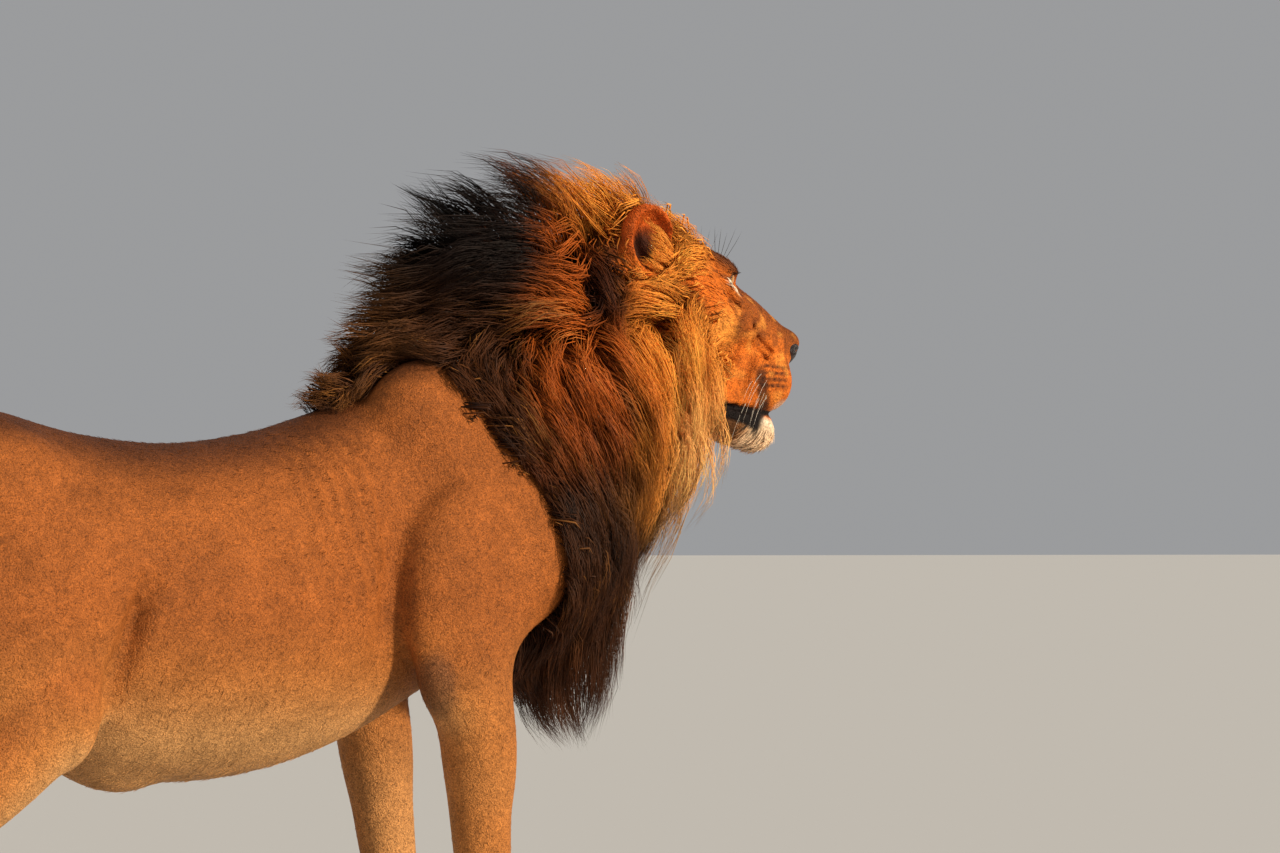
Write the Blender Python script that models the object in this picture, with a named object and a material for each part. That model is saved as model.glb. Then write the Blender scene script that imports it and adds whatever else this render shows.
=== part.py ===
"""A standing male lion, life size, as a still museum model.

The animal is modelled as clay: lumps of muscle, bone and hair are melted together into one
distance field, the field is skinned, and the skin is parted by thin cuts into the named pieces.
Metres, +Z up, the lion faces +X. Model space has x = 0 at the shoulder blades; at the end
everything moves so that the origin is the bottom centre of the box round the lion.
"""

import math

import bmesh
import bpy
import numpy as np
from mathutils import Euler, Matrix, Vector

# ---- driving sizes
EYE_HEIGHT = 1.285
BACK = 1.01
CROUP = 1.055
BELLY = 0.445
CUT = 0.0003
GRID_TRIES = 6
SIDES = {"left": 1, "right": -1}
SOLE_DEPTH = 0.008
FAR = 1.0

# ---- where the joints are: x forward, half spread, height
SCAPULA = Vector((-0.005, 0.078, 1.055))
SHOULDER = Vector((0.165, 0.135, 0.83))
ELBOW = Vector((0.0, 0.165, 0.60))
WRIST = Vector((0.062, 0.160, 0.215))
HIP = Vector((-0.91, 0.105, 0.87))
STIFLE = Vector((-0.76, 0.155, 0.57))
HOCK = Vector((-1.045, 0.135, 0.32))
# How far forward of those places each foreleg's and hind leg's foot stands.
FORE_STEP = {"left": 0.05, "right": 0.0}
HIND_STEP = {"left": 0.13, "right": -0.02}

# ---- the head's own space: origin between the eyes, x towards the nose, level
HEAD_AT = Vector((0.652, -0.035, EYE_HEIGHT))
HEAD_TURN = Euler((0, math.radians(13), math.radians(-18)))
HEAD = Matrix.Translation(HEAD_AT) @ HEAD_TURN.to_matrix().to_4x4()
EYE = Vector((-0.014, 0.056, 0.003))
EYE_RADIUS = 0.0195
MUZZLE_CUT = 0.048
MOUTH_HEIGHT = -0.200


# ---- clay: each lump gives its box and the distance from any points to its surface
class Egg:
    """An ellipsoid: its centre, half sizes, turn in degrees, and how softly it melts in."""

    def __init__(self, at, size, turn=(0, 0, 0), melt=0.04, space=Matrix()):
        self.size = np.array(size)
        place = Euler([math.radians(a) for a in turn]).to_matrix().to_4x4()
        self.matrix = space @ Matrix.Translation(at) @ place
        self.centre = np.array(self.matrix.translation)
        self.axes = np.array(self.matrix.to_3x3())
        self.melt = melt

    def box(self):
        reach = np.sqrt(((self.axes * self.size) ** 2).sum(1))
        return self.centre - reach, self.centre + reach

    def distance(self, x, y, z):
        local = [
            (x - self.centre[0]) * a[0] + (y - self.centre[1]) * a[1] + (z - self.centre[2]) * a[2]
            for a in self.axes.T
        ]
        near = sum((p / r) ** 2 for p, r in zip(local, self.size))
        steep = sum((p / r**2) ** 2 for p, r in zip(local, self.size))
        near, steep = np.sqrt(near), np.sqrt(steep) + 1e-6
        return near * (near - 1) / steep

    def solid(self, grow=0.0):
        work = bmesh.new()
        bmesh.ops.create_uvsphere(work, u_segments=14, v_segments=8, radius=1)
        bmesh.ops.scale(work, vec=self.size + grow, verts=work.verts)
        bmesh.ops.transform(work, matrix=self.matrix, verts=work.verts)
        return finished(work)


class Limb:
    """A tapered rod with round ends, from a to b, thinner across the body by a share."""

    def __init__(self, a, b, radii, thin=1.0, swell=0.0, melt=0.04, space=Matrix()):
        self.ends = [np.array(space @ Vector(p)) for p in (a, b)]
        self.radii = radii
        self.thin = thin
        self.swell = swell
        self.melt = melt

    def box(self):
        reach = max(self.radii) + self.swell
        return np.minimum(*self.ends) - reach, np.maximum(*self.ends) + reach

    def distance(self, x, y, z):
        (ax, ay, az), (bx, by, bz) = self.ends
        ay, by, y = ay / self.thin, by / self.thin, y / self.thin
        dx, dy, dz = bx - ax, by - ay, bz - az
        along = (x - ax) * dx + (y - ay) * dy + (z - az) * dz
        along = np.clip(along / (dx * dx + dy * dy + dz * dz), 0, 1)
        off = np.sqrt((x - ax - along * dx) ** 2 + (y - ay - along * dy) ** 2 + (z - az - along * dz) ** 2)
        radius = self.radii[0] + (self.radii[1] - self.radii[0]) * along
        return (off - radius - self.swell * 4 * along * (1 - along)) * self.thin


class Barrel:
    """The trunk: oval sections strung along x, each with its top, bottom and half width."""

    def __init__(self, stations, melt=0.04):
        self.stations = np.array(sorted(stations))
        self.melt = melt

    def section(self, x):
        """The centre height, half height and half width at x, on curves through the stations."""
        s = self.stations
        at = np.clip(x, s[0, 0], s[-1, 0])
        i = np.clip(np.searchsorted(s[:, 0], at) - 1, 0, len(s) - 2)
        slopes = np.gradient(s[:, 1:], s[:, 0], axis=0)
        step = (s[i + 1, 0] - s[i, 0])[:, None]
        t = ((at - s[i, 0]) / step[:, 0])[:, None]
        curve = (
            (2 * t**3 - 3 * t**2 + 1) * s[i, 1:]
            + (t**3 - 2 * t**2 + t) * step * slopes[i]
            + (3 * t**2 - 2 * t**3) * s[i + 1, 1:]
            + (t**3 - t**2) * step * slopes[i + 1]
        )
        top, bottom, width = curve.T
        return (top + bottom) / 2, (top - bottom) / 2, width

    def box(self):
        s = self.stations
        low = (s[0, 0] - 0.05, -s[:, 3].max(), s[:, 2].min())
        high = (s[-1, 0] + 0.05, s[:, 3].max(), s[:, 1].max())
        return np.array(low), np.array(high)

    def distance(self, x, y, z):
        shape = x.shape
        centre, height, width = (v.reshape(shape) for v in self.section(x.ravel()))
        past = x - np.clip(x, self.stations[0, 0], self.stations[-1, 0])
        z = z - centre
        near = np.sqrt((y / width) ** 2 + (z / height) ** 2)
        steep = np.sqrt((y / width**2) ** 2 + (z / height**2) ** 2) + 1e-6
        return near * (near - 1) / steep + np.abs(past)


def both_sides(make):
    """The lumps that make(side) gives for the left side, 1, and for the right side, -1."""
    return [lump for side in SIDES.values() for lump in make(side)]


def mirrored(point, side):
    return Vector((point[0], point[1] * side, point[2]))


# ---- the flesh
def trunk():
    return [
        Barrel(
            (
                (0.31, 0.98, 0.76, 0.09),
                (0.20, 1.06, 0.67, 0.14),
                (0.05, 1.085, 0.60, 0.150),
                (-0.12, 1.075, 0.515, 0.162),
                (-0.30, 1.03, 0.462, 0.193),
                (-0.48, BACK, BELLY, 0.212),
                (-0.66, 1.025, 0.465, 0.20),
                (-0.82, CROUP, 0.56, 0.168),
                (-0.97, 1.045, 0.70, 0.13),
                (-1.08, 0.97, 0.80, 0.075),
            )
        ),
        Egg((0.27, 0, 0.84), (0.10, 0.12, 0.15), melt=0.06),
        Egg((-0.93, 0, 0.93), (0.17, 0.13, 0.12), (0, -10, 0), melt=0.06),
        Egg((-0.62, 0, 0.50), (0.10, 0.035, 0.05), (0, 25, 0), melt=0.05),
        Egg((-1.012, 0, 0.725), (0.036, 0.042, 0.055), melt=0.04),
    ]


def neck():
    return [
        Limb((0.08, 0, 0.98), (0.43, -0.01, 1.24), (0.19, 0.125), thin=0.82, melt=0.08),
        Limb((0.22, 0, 0.88), (0.46, -0.01, 1.16), (0.15, 0.11), thin=0.85, melt=0.08),
    ]


def foreleg(name):
    side = SIDES[name]
    step = Vector((FORE_STEP[name], 0, 0))
    scapula, shoulder = mirrored(SCAPULA, side), mirrored(SHOULDER, side)
    elbow, wrist = mirrored(ELBOW, side) + step * 0.5, mirrored(WRIST, side) + step
    out = Vector((0, side, 0))
    pastern = wrist + Vector((0.035, 0, -0.135))
    return [
        Egg(scapula, (0.088, 0.055, 0.078), melt=0.05),
        Limb(scapula, shoulder, (0.082, 0.098), thin=0.66, swell=0.012, melt=0.04),
        Egg(shoulder + Vector((-0.005, 0, 0.0)), (0.095, 0.062, 0.115), melt=0.05),
        Limb(shoulder - out * 0.005, elbow, (0.088, 0.060), thin=0.85, melt=0.04),
        Egg(elbow + Vector((0.0, 0, 0.175)), (0.112, 0.055, 0.165), (0, 12, 0)),
        Egg(elbow + Vector((-0.036, 0, 0.018)), (0.034, 0.030, 0.048), melt=0.04),
        Limb(elbow + Vector((0.028, 0, 0.03)), wrist, (0.066, 0.045), thin=0.88, swell=0.004),
        Egg(elbow + Vector((0.045, 0, -0.07)), (0.056, 0.053, 0.13), (0, -8, 0), melt=0.04),
        Egg(wrist + Vector((0.0, 0, -0.005)), (0.047, 0.044, 0.058), melt=0.03),
        Limb(wrist, pastern, (0.044, 0.047), thin=1.05, melt=0.03),
        *paw(pastern, side, 1.0),
    ]


def hindleg(name):
    side = SIDES[name]
    step = Vector((HIND_STEP[name], 0, 0))
    hip, stifle = mirrored(HIP, side), mirrored(STIFLE, side) + step * 0.45
    hock = mirrored(HOCK, side) + step
    middle = (hip + stifle) / 2
    shank_top = stifle + Vector((-0.055, 0, -0.015))
    cannon = hock + Vector((0.045, 0, -0.235))
    return [
        Egg(hip + Vector((0.0, -side * 0.02, 0.045)), (0.15, 0.082, 0.115), (0, -12, 0), melt=0.06),
        Egg(middle + Vector((0.015, 0, -0.005)), (0.135, 0.083, 0.22), (0, 38, 0), melt=0.05),
        Egg(hip + Vector((-0.060, 0, -0.13)), (0.085, 0.072, 0.19), (0, -8, 0), melt=0.05),
        Egg(stifle + Vector((0.0, -side * 0.005, 0.005)), (0.072, 0.056, 0.095), melt=0.04),
        Limb(shank_top, hock + Vector((0.015, 0, 0.02)), (0.088, 0.043), thin=0.78, swell=0.01),
        Limb(hock + Vector((0.06, 0, 0.22)), hock + Vector((-0.022, 0, 0.03)), (0.045, 0.024), thin=0.7),
        Egg(hock + Vector((-0.012, 0, 0.012)), (0.048, 0.037, 0.052), melt=0.03),
        Limb(hock, cannon, (0.043, 0.043), thin=0.92, melt=0.03),
        *paw(cannon, side, 0.9),
    ]


def paw(ankle, side, scale):
    """Four toes in an arc before a broad foot, which stands on its pads."""
    sole = Vector((ankle.x, ankle.y, 0))
    lumps = [
        Egg(sole + Vector((0.045, 0, 0.048)) * scale, (0.078 * scale, 0.062 * scale, 0.046 * scale), melt=0.03),
        Egg(sole + Vector((-0.005, 0, 0.03)) * scale, (0.055 * scale, 0.052 * scale, 0.036 * scale), melt=0.02),
    ]
    for toe, (ahead, aside) in enumerate(((0.092, -0.049), (0.115, -0.018), (0.115, 0.018), (0.092, 0.049))):
        place = sole + Vector((ahead, aside * 1.03, 0.031)) * scale
        spread = math.degrees(math.atan2(aside, 0.16))
        lumps.append(
            Egg(place, (0.042 * scale, 0.0205 * scale, 0.034 * scale), (0, 0, spread), melt=0.008)
        )
    return lumps


TAIL = (
    ((-1.05, 0.0, 0.955), 0.052),
    ((-1.125, 0.0, 0.86), 0.036),
    ((-1.165, 0.005, 0.72), 0.028),
    ((-1.175, 0.015, 0.56), 0.024),
    ((-1.175, 0.025, 0.42), 0.021),
    ((-1.20, 0.03, 0.31), 0.020),
)
TUFT = ((-1.215, 0.03, 0.275), (-1.275, 0.035, 0.165))


def tail():
    joints = [Limb(a, b, (ra, rb), melt=0.02) for (a, ra), (b, rb) in zip(TAIL, TAIL[1:])]
    return joints + [
        Limb(*TUFT, (0.026, 0.040), swell=0.008, melt=0.03),
        Egg((-1.295, 0.037, 0.125), (0.03, 0.026, 0.055), (0, 30, 0), melt=0.03),
    ]


def head():
    def egg(at, size, turn=(0, 0, 0), melt=0.03):
        return Egg(at, size, turn, melt, HEAD)

    def rod(a, b, radii, **more):
        return Limb(a, b, radii, space=HEAD, **more)

    def side_lumps(s):
        return [
            egg((-0.085, s * 0.072, -0.075), (0.09, 0.052, 0.095)),
            egg((-0.024, s * 0.046, 0.022), (0.040, 0.029, 0.021), (0, 12, s * -8), 0.02),
            egg((-0.012, s * 0.054, 0.001), (0.03, 0.027, 0.026), (0, 0, s * 15), 0.015),
            egg((0.012, s * 0.048, -0.060), (0.062, 0.036, 0.042), (0, 14, s * -14), 0.03),
            egg((0.112, s * 0.030, -0.150), (0.050, 0.036, 0.054), (0, 6, s * -6), 0.015),
            egg((0.076, s * 0.043, -0.160), (0.056, 0.026, 0.046), (0, 6, s * -14), 0.02),
            rod((-0.08, s * 0.066, -0.164), (0.07, s * 0.034, -0.224), (0.052, 0.035), melt=0.03),
        ]

    return [
        egg((-0.14, 0, -0.006), (0.125, 0.092, 0.082)),
        egg((-0.065, 0, -0.010), (0.085, 0.07, 0.060), (0, 14, 0)),
        rod((-0.02, 0, -0.015), (0.126, 0, -0.076), (0.036, 0.031), melt=0.03),
        egg((0.143, 0, -0.071), (0.0265, 0.028, 0.0225), melt=0.012),
        egg((0.02, 0, -0.096), (0.10, 0.058, 0.085), (0, 12, 0)),
        egg((0.085, 0, -0.115), (0.070, 0.050, 0.062)),
        egg((0.113, 0, -0.232), (0.046, 0.040, 0.040), (0, 4, 0), 0.02),
        egg((0.035, 0, -0.216), (0.09, 0.050, 0.046)),
        *both_sides(side_lumps),
    ]


def head_hollows():
    """The eye openings."""

    def opening(s):
        return [Egg((0.012, s * 0.067, 0.003), (0.022, 0.017, 0.012), (0, 8, s * 24), 0.006, HEAD)]

    return both_sides(opening)


def nose():
    return [
        Egg((0.1530, 0, -0.081), (0.0130, 0.0270, 0.0165), (0, 22, 0), 0.01, HEAD),
        Egg((0.1480, 0, -0.095), (0.0135, 0.0170, 0.0210), (0, 19, 0), 0.012, HEAD),
    ]


EAR = Vector((-0.178, 0.112, 0.024))


def ear(side):
    """A thick cup, open towards the side."""
    cup, turn = mirrored(EAR, side), (side * 12, -14, side * 10)
    opening = cup + Vector((0.007, side * 0.023, 0.004))
    return (
        Egg(cup, (0.052, 0.038, 0.068), turn, 0.0, HEAD),
        Egg(opening, (0.037, 0.036, 0.050), turn, 0.008, HEAD),
    )


# ---- the mane, out to the tips of its hair
def mane():
    return [
        Egg((0.235, 0, 1.10), (0.215, 0.225, 0.25), (0, -35, 0), melt=0.08),
        Egg((0.285, 0, 1.33), (0.185, 0.130, 0.145), (0, -12, 0), melt=0.08),
        Egg((0.415, -0.01, 1.365), (0.13, 0.085, 0.105), (0, 10, 0), melt=0.06),
        Limb((0.13, 0, 1.26), (-0.12, 0, 1.085), (0.122, 0.038), thin=0.62, melt=0.06),
        Limb((-0.12, 0, 1.065), (-0.22, 0, 1.008), (0.035, 0.016), melt=0.03),
        Egg((0.455, -0.03, 1.11), (0.125, 0.210, 0.205), (0, 14, -14), melt=0.06),
        Egg((0.52, -0.05, 1.05), (0.110, 0.120, 0.135), (0, 20, -14), melt=0.06),
        Egg((0.515, -0.06, 0.985), (0.072, 0.105, 0.085), (0, 0, -14), melt=0.05),
        Egg((0.27, 0, 0.92), (0.165, 0.185, 0.22), (0, 10, 0), melt=0.08),
        Egg((0.225, 0, 0.86), (0.150, 0.232, 0.21), (0, 10, 0), melt=0.04),
        Limb((0.32, 0, 0.84), (0.35, 0, 0.60), (0.112, 0.074), thin=1.3, melt=0.06),
        Limb((0.36, 0, 0.62), (0.385, 0, 0.525), (0.058, 0.024), thin=1.2, melt=0.04),
    ]


FLESH = [
    *trunk(),
    *neck(),
    *(lump for name in SIDES for lump in foreleg(name)),
    *(lump for name in SIDES for lump in hindleg(name)),
    *tail(),
]


# ---- from lumps to meshes
def melted(lumps, hollows, axes):
    """The field of the lumps melted together, less the hollows, on a grid with these axes."""
    field = np.full([len(a) for a in axes], FAR, np.float32)
    reach = 3 * max(a[1] - a[0] for a in axes)
    for lump in [*lumps, *hollows]:
        low, high = lump.box()
        part = tuple(
            slice(*np.searchsorted(a, (lo - lump.melt - reach, hi + lump.melt + reach)))
            for a, lo, hi in zip(axes, low, high)
        )
        block = field[part]
        if not block.size:
            continue
        grid = np.meshgrid(*(a[s] for a, s in zip(axes, part)), indexing="ij", sparse=True)
        grid[0] = grid[0] + 0 * grid[1] + 0 * grid[2]
        away = lump.distance(*grid)
        if any(lump is hollow for hollow in hollows):
            field[part] = -soft_min(-block, away, lump.melt)
        else:
            field[part] = soft_min(block, away, lump.melt)
    return field


def soft_min(a, b, melt):
    if not melt:
        return np.minimum(a, b)
    h = np.maximum(melt - np.abs(a - b), 0) / melt
    return np.minimum(a, b) - h * h * melt / 4


def skinned(field, axes):
    """The closed skin where the field is zero: one point in each crossed cell, four to a face."""
    inside = field < 0
    corners = [(i, j, k) for i in (0, 1) for j in (0, 1) for k in (0, 1)]
    cells = [n - 1 for n in field.shape]

    def corner(array, c):
        return array[tuple(slice(o, o + n) for o, n in zip(c, cells))]

    count = sum(corner(inside, c).astype(np.int8) for c in corners)
    crossed = (count > 0) & (count < 8)
    index = np.full(cells, -1, np.int64)
    index[crossed] = np.arange(crossed.sum())
    total, hits = np.zeros((crossed.sum(), 3)), np.zeros(crossed.sum())
    values = {c: corner(field, c)[crossed] for c in corners}
    for axis in range(3):
        for c in (c for c in corners if c[axis] == 0):
            d = tuple(1 if a == axis else v for a, v in enumerate(c))
            cuts = (values[c] < 0) != (values[d] < 0)
            share = np.where(cuts, values[c] / np.where(cuts, values[c] - values[d], 1), 0)
            place = np.tile(np.array(c, float), (len(share), 1))
            place[:, axis] = share
            total += place * cuts[:, None]
            hits += cuts
    where = np.stack(np.nonzero(crossed), 1) + total / hits[:, None]
    points = np.stack([np.interp(where[:, a], np.arange(len(axes[a])), axes[a]) for a in range(3)], 1)
    faces = []
    for axis in range(3):
        low = tuple(slice(0, -1) if a == axis else slice(1, -1) for a in range(3))
        high = tuple(slice(1, None) if a == axis else slice(1, -1) for a in range(3))
        starts, ends = inside[low], inside[high]
        around = []
        for u, v in ((0, 0), (1, 0), (1, 1), (0, 1)):
            shift = {(axis + 1) % 3: u, (axis + 2) % 3: v}
            pick = tuple(
                slice(None) if a == axis else slice(shift[a], shift[a] + starts.shape[a]) for a in range(3)
            )
            around.append(index[pick])
        quads = np.stack(around, -1)
        faces.append(quads[starts & ~ends])
        faces.append(quads[~starts & ends][:, ::-1])
    return points, np.concatenate(faces)


def axis_of(low, high, step):
    return np.arange(low - 3 * step, high + 3 * step, step)


def clay(name, lumps, hollows, box, step, faces, grow=0.0):
    """A closed body: the skin of some lumps inside a box, thinned to about this many triangles.

    Where the skin would touch itself along an edge, the grid is moved on a little and tried again.
    """
    for shift in range(GRID_TRIES):
        start = (3 - 0.13 * shift) * step
        axes = [np.arange(low - start, high + 3 * step, step) for low, high in zip(*box)]
        field = melted(lumps, hollows, axes) - grow
        inner = np.zeros(field.shape, bool)
        inner[2:-2, 2:-2, 2:-2] = True
        field[~inner] = np.maximum(field[~inner], step)
        points, quads = skinned(field, axes)
        edges = np.sort(np.stack([quads, np.roll(quads, -1, axis=1)], -1).reshape(-1, 2), axis=1)
        if np.unique(edges, axis=0, return_counts=True)[1].max() == 2:
            break
    body = placed(name, mesh_from(points.tolist(), quads.tolist()))
    even = body.modifiers.new("even", "SMOOTH")
    even.factor, even.iterations = 0.5, 1
    body.modifiers.new("thin", "DECIMATE").ratio = faces / (2 * len(quads))
    return settled(body)


def mesh_from(points, faces):
    mesh = bpy.data.meshes.new("mesh")
    mesh.from_pydata(points, [], faces)
    mesh.update()
    return mesh


def placed(name, mesh):
    body = bpy.data.objects.new(name, mesh)
    bpy.context.collection.objects.link(body)
    return body


def settled(body):
    """The body with its modifiers applied."""
    evaluated = body.evaluated_get(bpy.context.evaluated_depsgraph_get())
    mesh = bpy.data.meshes.new_from_object(evaluated)
    body.modifiers.clear()
    body.data = mesh
    return body


# ---- cutters: each is a closed solid, and grow moves its faces outwards
class Half:
    """All that lies behind a plane, as far as matters here."""

    def __init__(self, point, normal):
        self.point, self.normal = Vector(point), Vector(normal).normalized()

    def solid(self, grow=0.0):
        turn = self.normal.to_track_quat("Z", "Y").to_matrix().to_4x4()
        at = self.point + self.normal * (grow - 2)
        work = bmesh.new()
        bmesh.ops.create_cube(work, size=4, matrix=Matrix.Translation(at) @ turn)
        return finished(work)


class Block:
    """A box between two corners of some space."""

    def __init__(self, low, high, space=Matrix()):
        self.low, self.high, self.space = Vector(low), Vector(high), space

    def solid(self, grow=0.0):
        work = bmesh.new()
        size = self.high - self.low + Vector((2 * grow,) * 3)
        bmesh.ops.create_cube(work, size=1)
        bmesh.ops.scale(work, vec=size, verts=work.verts)
        bmesh.ops.translate(work, vec=(self.low + self.high) / 2, verts=work.verts)
        bmesh.ops.transform(work, matrix=self.space, verts=work.verts)
        return finished(work)


class Oval:
    """An oval prism across the body, on one side of it: centre x, z, half sizes, lean, reach in y."""

    def __init__(self, at, size, lean, side, inner, outer=0.6):
        self.at, self.size, self.lean = at, size, math.radians(lean)
        self.side, self.inner, self.outer = side, inner, outer

    def solid(self, grow=0.0):
        work = bmesh.new()
        bmesh.ops.create_cone(work, cap_ends=True, segments=40, radius1=1, radius2=1, depth=1)
        low, high = self.inner - grow, self.outer
        bmesh.ops.rotate(work, matrix=Matrix.Rotation(math.pi / 2, 3, "X"), verts=work.verts)
        bmesh.ops.scale(
            work, vec=(self.size[0] + grow, high - low, self.size[1] + grow), verts=work.verts
        )
        bmesh.ops.rotate(work, matrix=Matrix.Rotation(self.lean, 3, "Y"), verts=work.verts)
        centre = (self.at[0], self.side * (low + high) / 2, self.at[1])
        bmesh.ops.translate(work, vec=centre, verts=work.verts)
        return finished(work)


class Body:
    """Another body of the model, as a cutter."""

    def __init__(self, body):
        self.mesh = body.data

    def solid(self, grow=0.0):
        work = bmesh.new()
        work.from_mesh(self.mesh)
        work.normal_update()
        for vert in work.verts:
            vert.co += vert.normal * grow * 1.5
        return finished(work)


def finished(work):
    bmesh.ops.recalc_face_normals(work, faces=work.faces)
    mesh = bpy.data.meshes.new("cutter")
    work.to_mesh(mesh)
    work.free()
    return mesh


def cut(body, cutter, keep):
    """Keeps what is inside the cutter, or outside it by the width of a cut."""
    tool = placed("cutter", cutter.solid(0.0 if keep == "inside" else CUT))
    boolean = body.modifiers.new("cut", "BOOLEAN")
    boolean.solver, boolean.object = "EXACT", tool
    boolean.operation = "INTERSECT" if keep == "inside" else "DIFFERENCE"
    settled(body)
    bpy.data.objects.remove(tool)
    return body


def inside(*cutters):
    return [(cutter, "inside") for cutter in cutters]


def outside(*cutters):
    return [(cutter, "outside") for cutter in cutters]


def one_piece(body):
    """Drops the crumbs that a cut may leave beside the body."""
    work = bmesh.new()
    work.from_mesh(body.data)
    groups, left = [], set(work.verts)
    while left:
        group, fresh = set(), [left.pop()]
        while fresh:
            vert = fresh.pop()
            group.add(vert)
            near = {edge.other_vert(vert) for edge in vert.link_edges} & left
            left -= near
            fresh += near
        groups.append(group)
    groups.sort(key=len)
    crumbs = [vert for group in groups[:-1] for vert in group]
    bmesh.ops.delete(work, geom=crumbs, context="VERTS")
    bmesh.ops.triangulate(work, faces=work.faces)
    work.to_mesh(body.data)
    work.free()


def piece(source, name, cuts, used_up=False):
    """A node: a copy of the source body, or the body itself, parted by the cuts."""
    if used_up:
        body, body.name = source, name
    else:
        body = placed(name, source.data.copy())
    for cutter, keep in cuts:
        cut(body, cutter, keep)
    one_piece(body)
    return body


def node(name, box, step, faces, cuts, lumps=None):
    return piece(clay(name, lumps or HULL, [], box, step, faces), name, cuts, used_up=True)


def beside(side, x, spread, z):
    """The two corners of a box on one side of the body."""
    y = sorted(side * s for s in spread)
    return (x[0], y[0], z[0]), (x[1], y[1], z[1])


for old in list(bpy.data.objects):
    bpy.data.objects.remove(old)
HULL = FLESH + mane()

# ---- the head: its small pieces first, since they are seated in it
seats = []
for name, side in SIDES.items():
    eyeball = Egg(mirrored(EYE, side), (EYE_RADIUS,) * 3, space=HEAD)
    cup, hollow = ear(side)
    piece(placed("eyeball", eyeball.solid()), "eye_" + name, [], used_up=True)
    piece(placed("cup", cup.solid()), "ear_" + name, outside(hollow), used_up=True)
    seats += [eyeball, cup]
NOSE_BOX = ((0.74, -0.16, 1.13), (0.85, -0.03, 1.25))
clay("nose", nose(), [], NOSE_BOX, 0.003, 160)
nose_seat = clay("nose_seat", nose(), [], NOSE_BOX, 0.003, 200, grow=0.0015)
seats.append(Body(nose_seat))
bpy.data.objects.remove(nose_seat)
HEAD_BOX = ((0.34, -0.24, 0.96), (0.86, 0.18, 1.44))
skull = clay("skull", head(), head_hollows(), HEAD_BOX, 0.005, 1150)
socket = clay("socket", head(), [], HEAD_BOX, 0.008, 300, grow=0.008)
muzzle_block = Block((MUZZLE_CUT, -0.3, MOUTH_HEIGHT), (0.4, 0.3, 0.3), HEAD)
jaw_block = Block((-0.03, -0.3, -0.4), (0.4, 0.3, MOUTH_HEIGHT), HEAD)
piece(skull, "head", outside(muzzle_block, jaw_block, *seats))
piece(skull, "muzzle", inside(muzzle_block) + outside(*seats))
piece(skull, "lower_jaw", inside(jaw_block) + outside(muzzle_block, *seats))
head_seats = [Body(socket), *(seat for seat in seats if isinstance(seat, Egg))]
bpy.data.objects.remove(skull)
bpy.data.objects.remove(socket)

# ---- the neck and the mane, open at the front where the head is seated
behind_neck = Half((-0.02, 0, 1.17), (0.827, 0, 0.563))
behind_chest = Half((0.143, 0, 0.93), (0.990, 0, 0.141))
below_throat = Half((0, 0, 0.93), (0, 0, 1))
behind_ruff = Half((0.40, 0, 1.2), (0.99, 0, 0.10))
node(
    "neck_mane",
    ((-0.10, -0.32, 0.86), (0.48, 0.32, 1.56)),
    0.011,
    520,
    inside(behind_ruff) + outside(behind_neck, below_throat, *head_seats),
)
node(
    "face_ruff",
    ((0.32, -0.34, 0.80), (0.72, 0.30, 1.56)),
    0.010,
    380,
    outside(behind_ruff, below_throat, *head_seats),
)
node(
    "chest_mane",
    ((0.08, -0.28, 0.44), (0.72, 0.28, 1.00)),
    0.010,
    460,
    inside(below_throat) + outside(behind_chest),
)

# ---- the legs
above_floor = Half((0, 0, 0), (0, 0, -1))
leg_places = []
for name, side in SIDES.items():
    ahead = FORE_STEP[name]
    shoulder_place = Oval((0.035, 0.80), (0.19, 0.345), -14, side, 0.100)
    foreleg_place = Block(*beside(side, (-0.15, 0.28), (0.092, 0.6), (-0.1, 0.56)))
    below_wrist = Half((0, 0, 0.185), (0, 0, 1))
    node(
        "shoulder_" + name,
        beside(side, (-0.20, 0.30), (0.05, 0.34), (0.48, 1.22)),
        0.010,
        300,
        inside(behind_neck, behind_chest, shoulder_place) + outside(foreleg_place),
    )
    node(
        "forearm_" + name,
        beside(side, (-0.16, 0.30), (0.04, 0.34), (0.12, 0.64)),
        0.009,
        140,
        inside(foreleg_place) + outside(below_wrist),
    )
    node(
        "forepaw_" + name,
        beside(side, (-0.06 + ahead, 0.30 + ahead), (0.05, 0.28), (-0.03, 0.25)),
        0.006,
        230,
        inside(below_wrist, above_floor),
    )
    back = HIND_STEP[name]
    stifle = mirrored(STIFLE, side) + Vector((0.45 * back, 0, 0))
    hock = mirrored(HOCK, side) + Vector((back, 0, 0))
    thigh_place = Oval((-0.885 + 0.2 * back, 0.70), (0.20, 0.365), -10, side, 0.055)
    below_stifle = Half(stifle + Vector((-0.04, 0, -0.07)), (0.5, 0, 0.866))
    below_hock = Half(hock + Vector((0.0, 0, 0.03)), (0.25, 0, 0.97))
    below_ankle = Half((0, 0, 0.10), (0, 0, 1))
    leg_places.append((shoulder_place, foreleg_place, thigh_place, below_stifle))
    node(
        "thigh_" + name,
        beside(side, (-1.18, -0.56), (0.02, 0.30), (0.34, 1.14)),
        0.010,
        300,
        inside(thigh_place) + outside(below_stifle),
    )
    node(
        "shank_" + name,
        beside(side, (-1.18 + back, -0.56 + back), (0.02, 0.30), (0.22, 0.80)),
        0.009,
        150,
        inside(below_stifle) + outside(below_hock),
    )
    node(
        "hindfoot_" + name,
        beside(side, (-1.20 + back, -0.80 + back), (0.02, 0.28), (0.04, 0.45)),
        0.007,
        90,
        inside(below_hock) + outside(below_ankle),
    )
    node(
        "hindpaw_" + name,
        beside(side, (-1.10 + back, -0.76 + back), (0.04, 0.26), (-0.03, 0.15)),
        0.006,
        190,
        inside(below_ankle, above_floor),
    )

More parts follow.
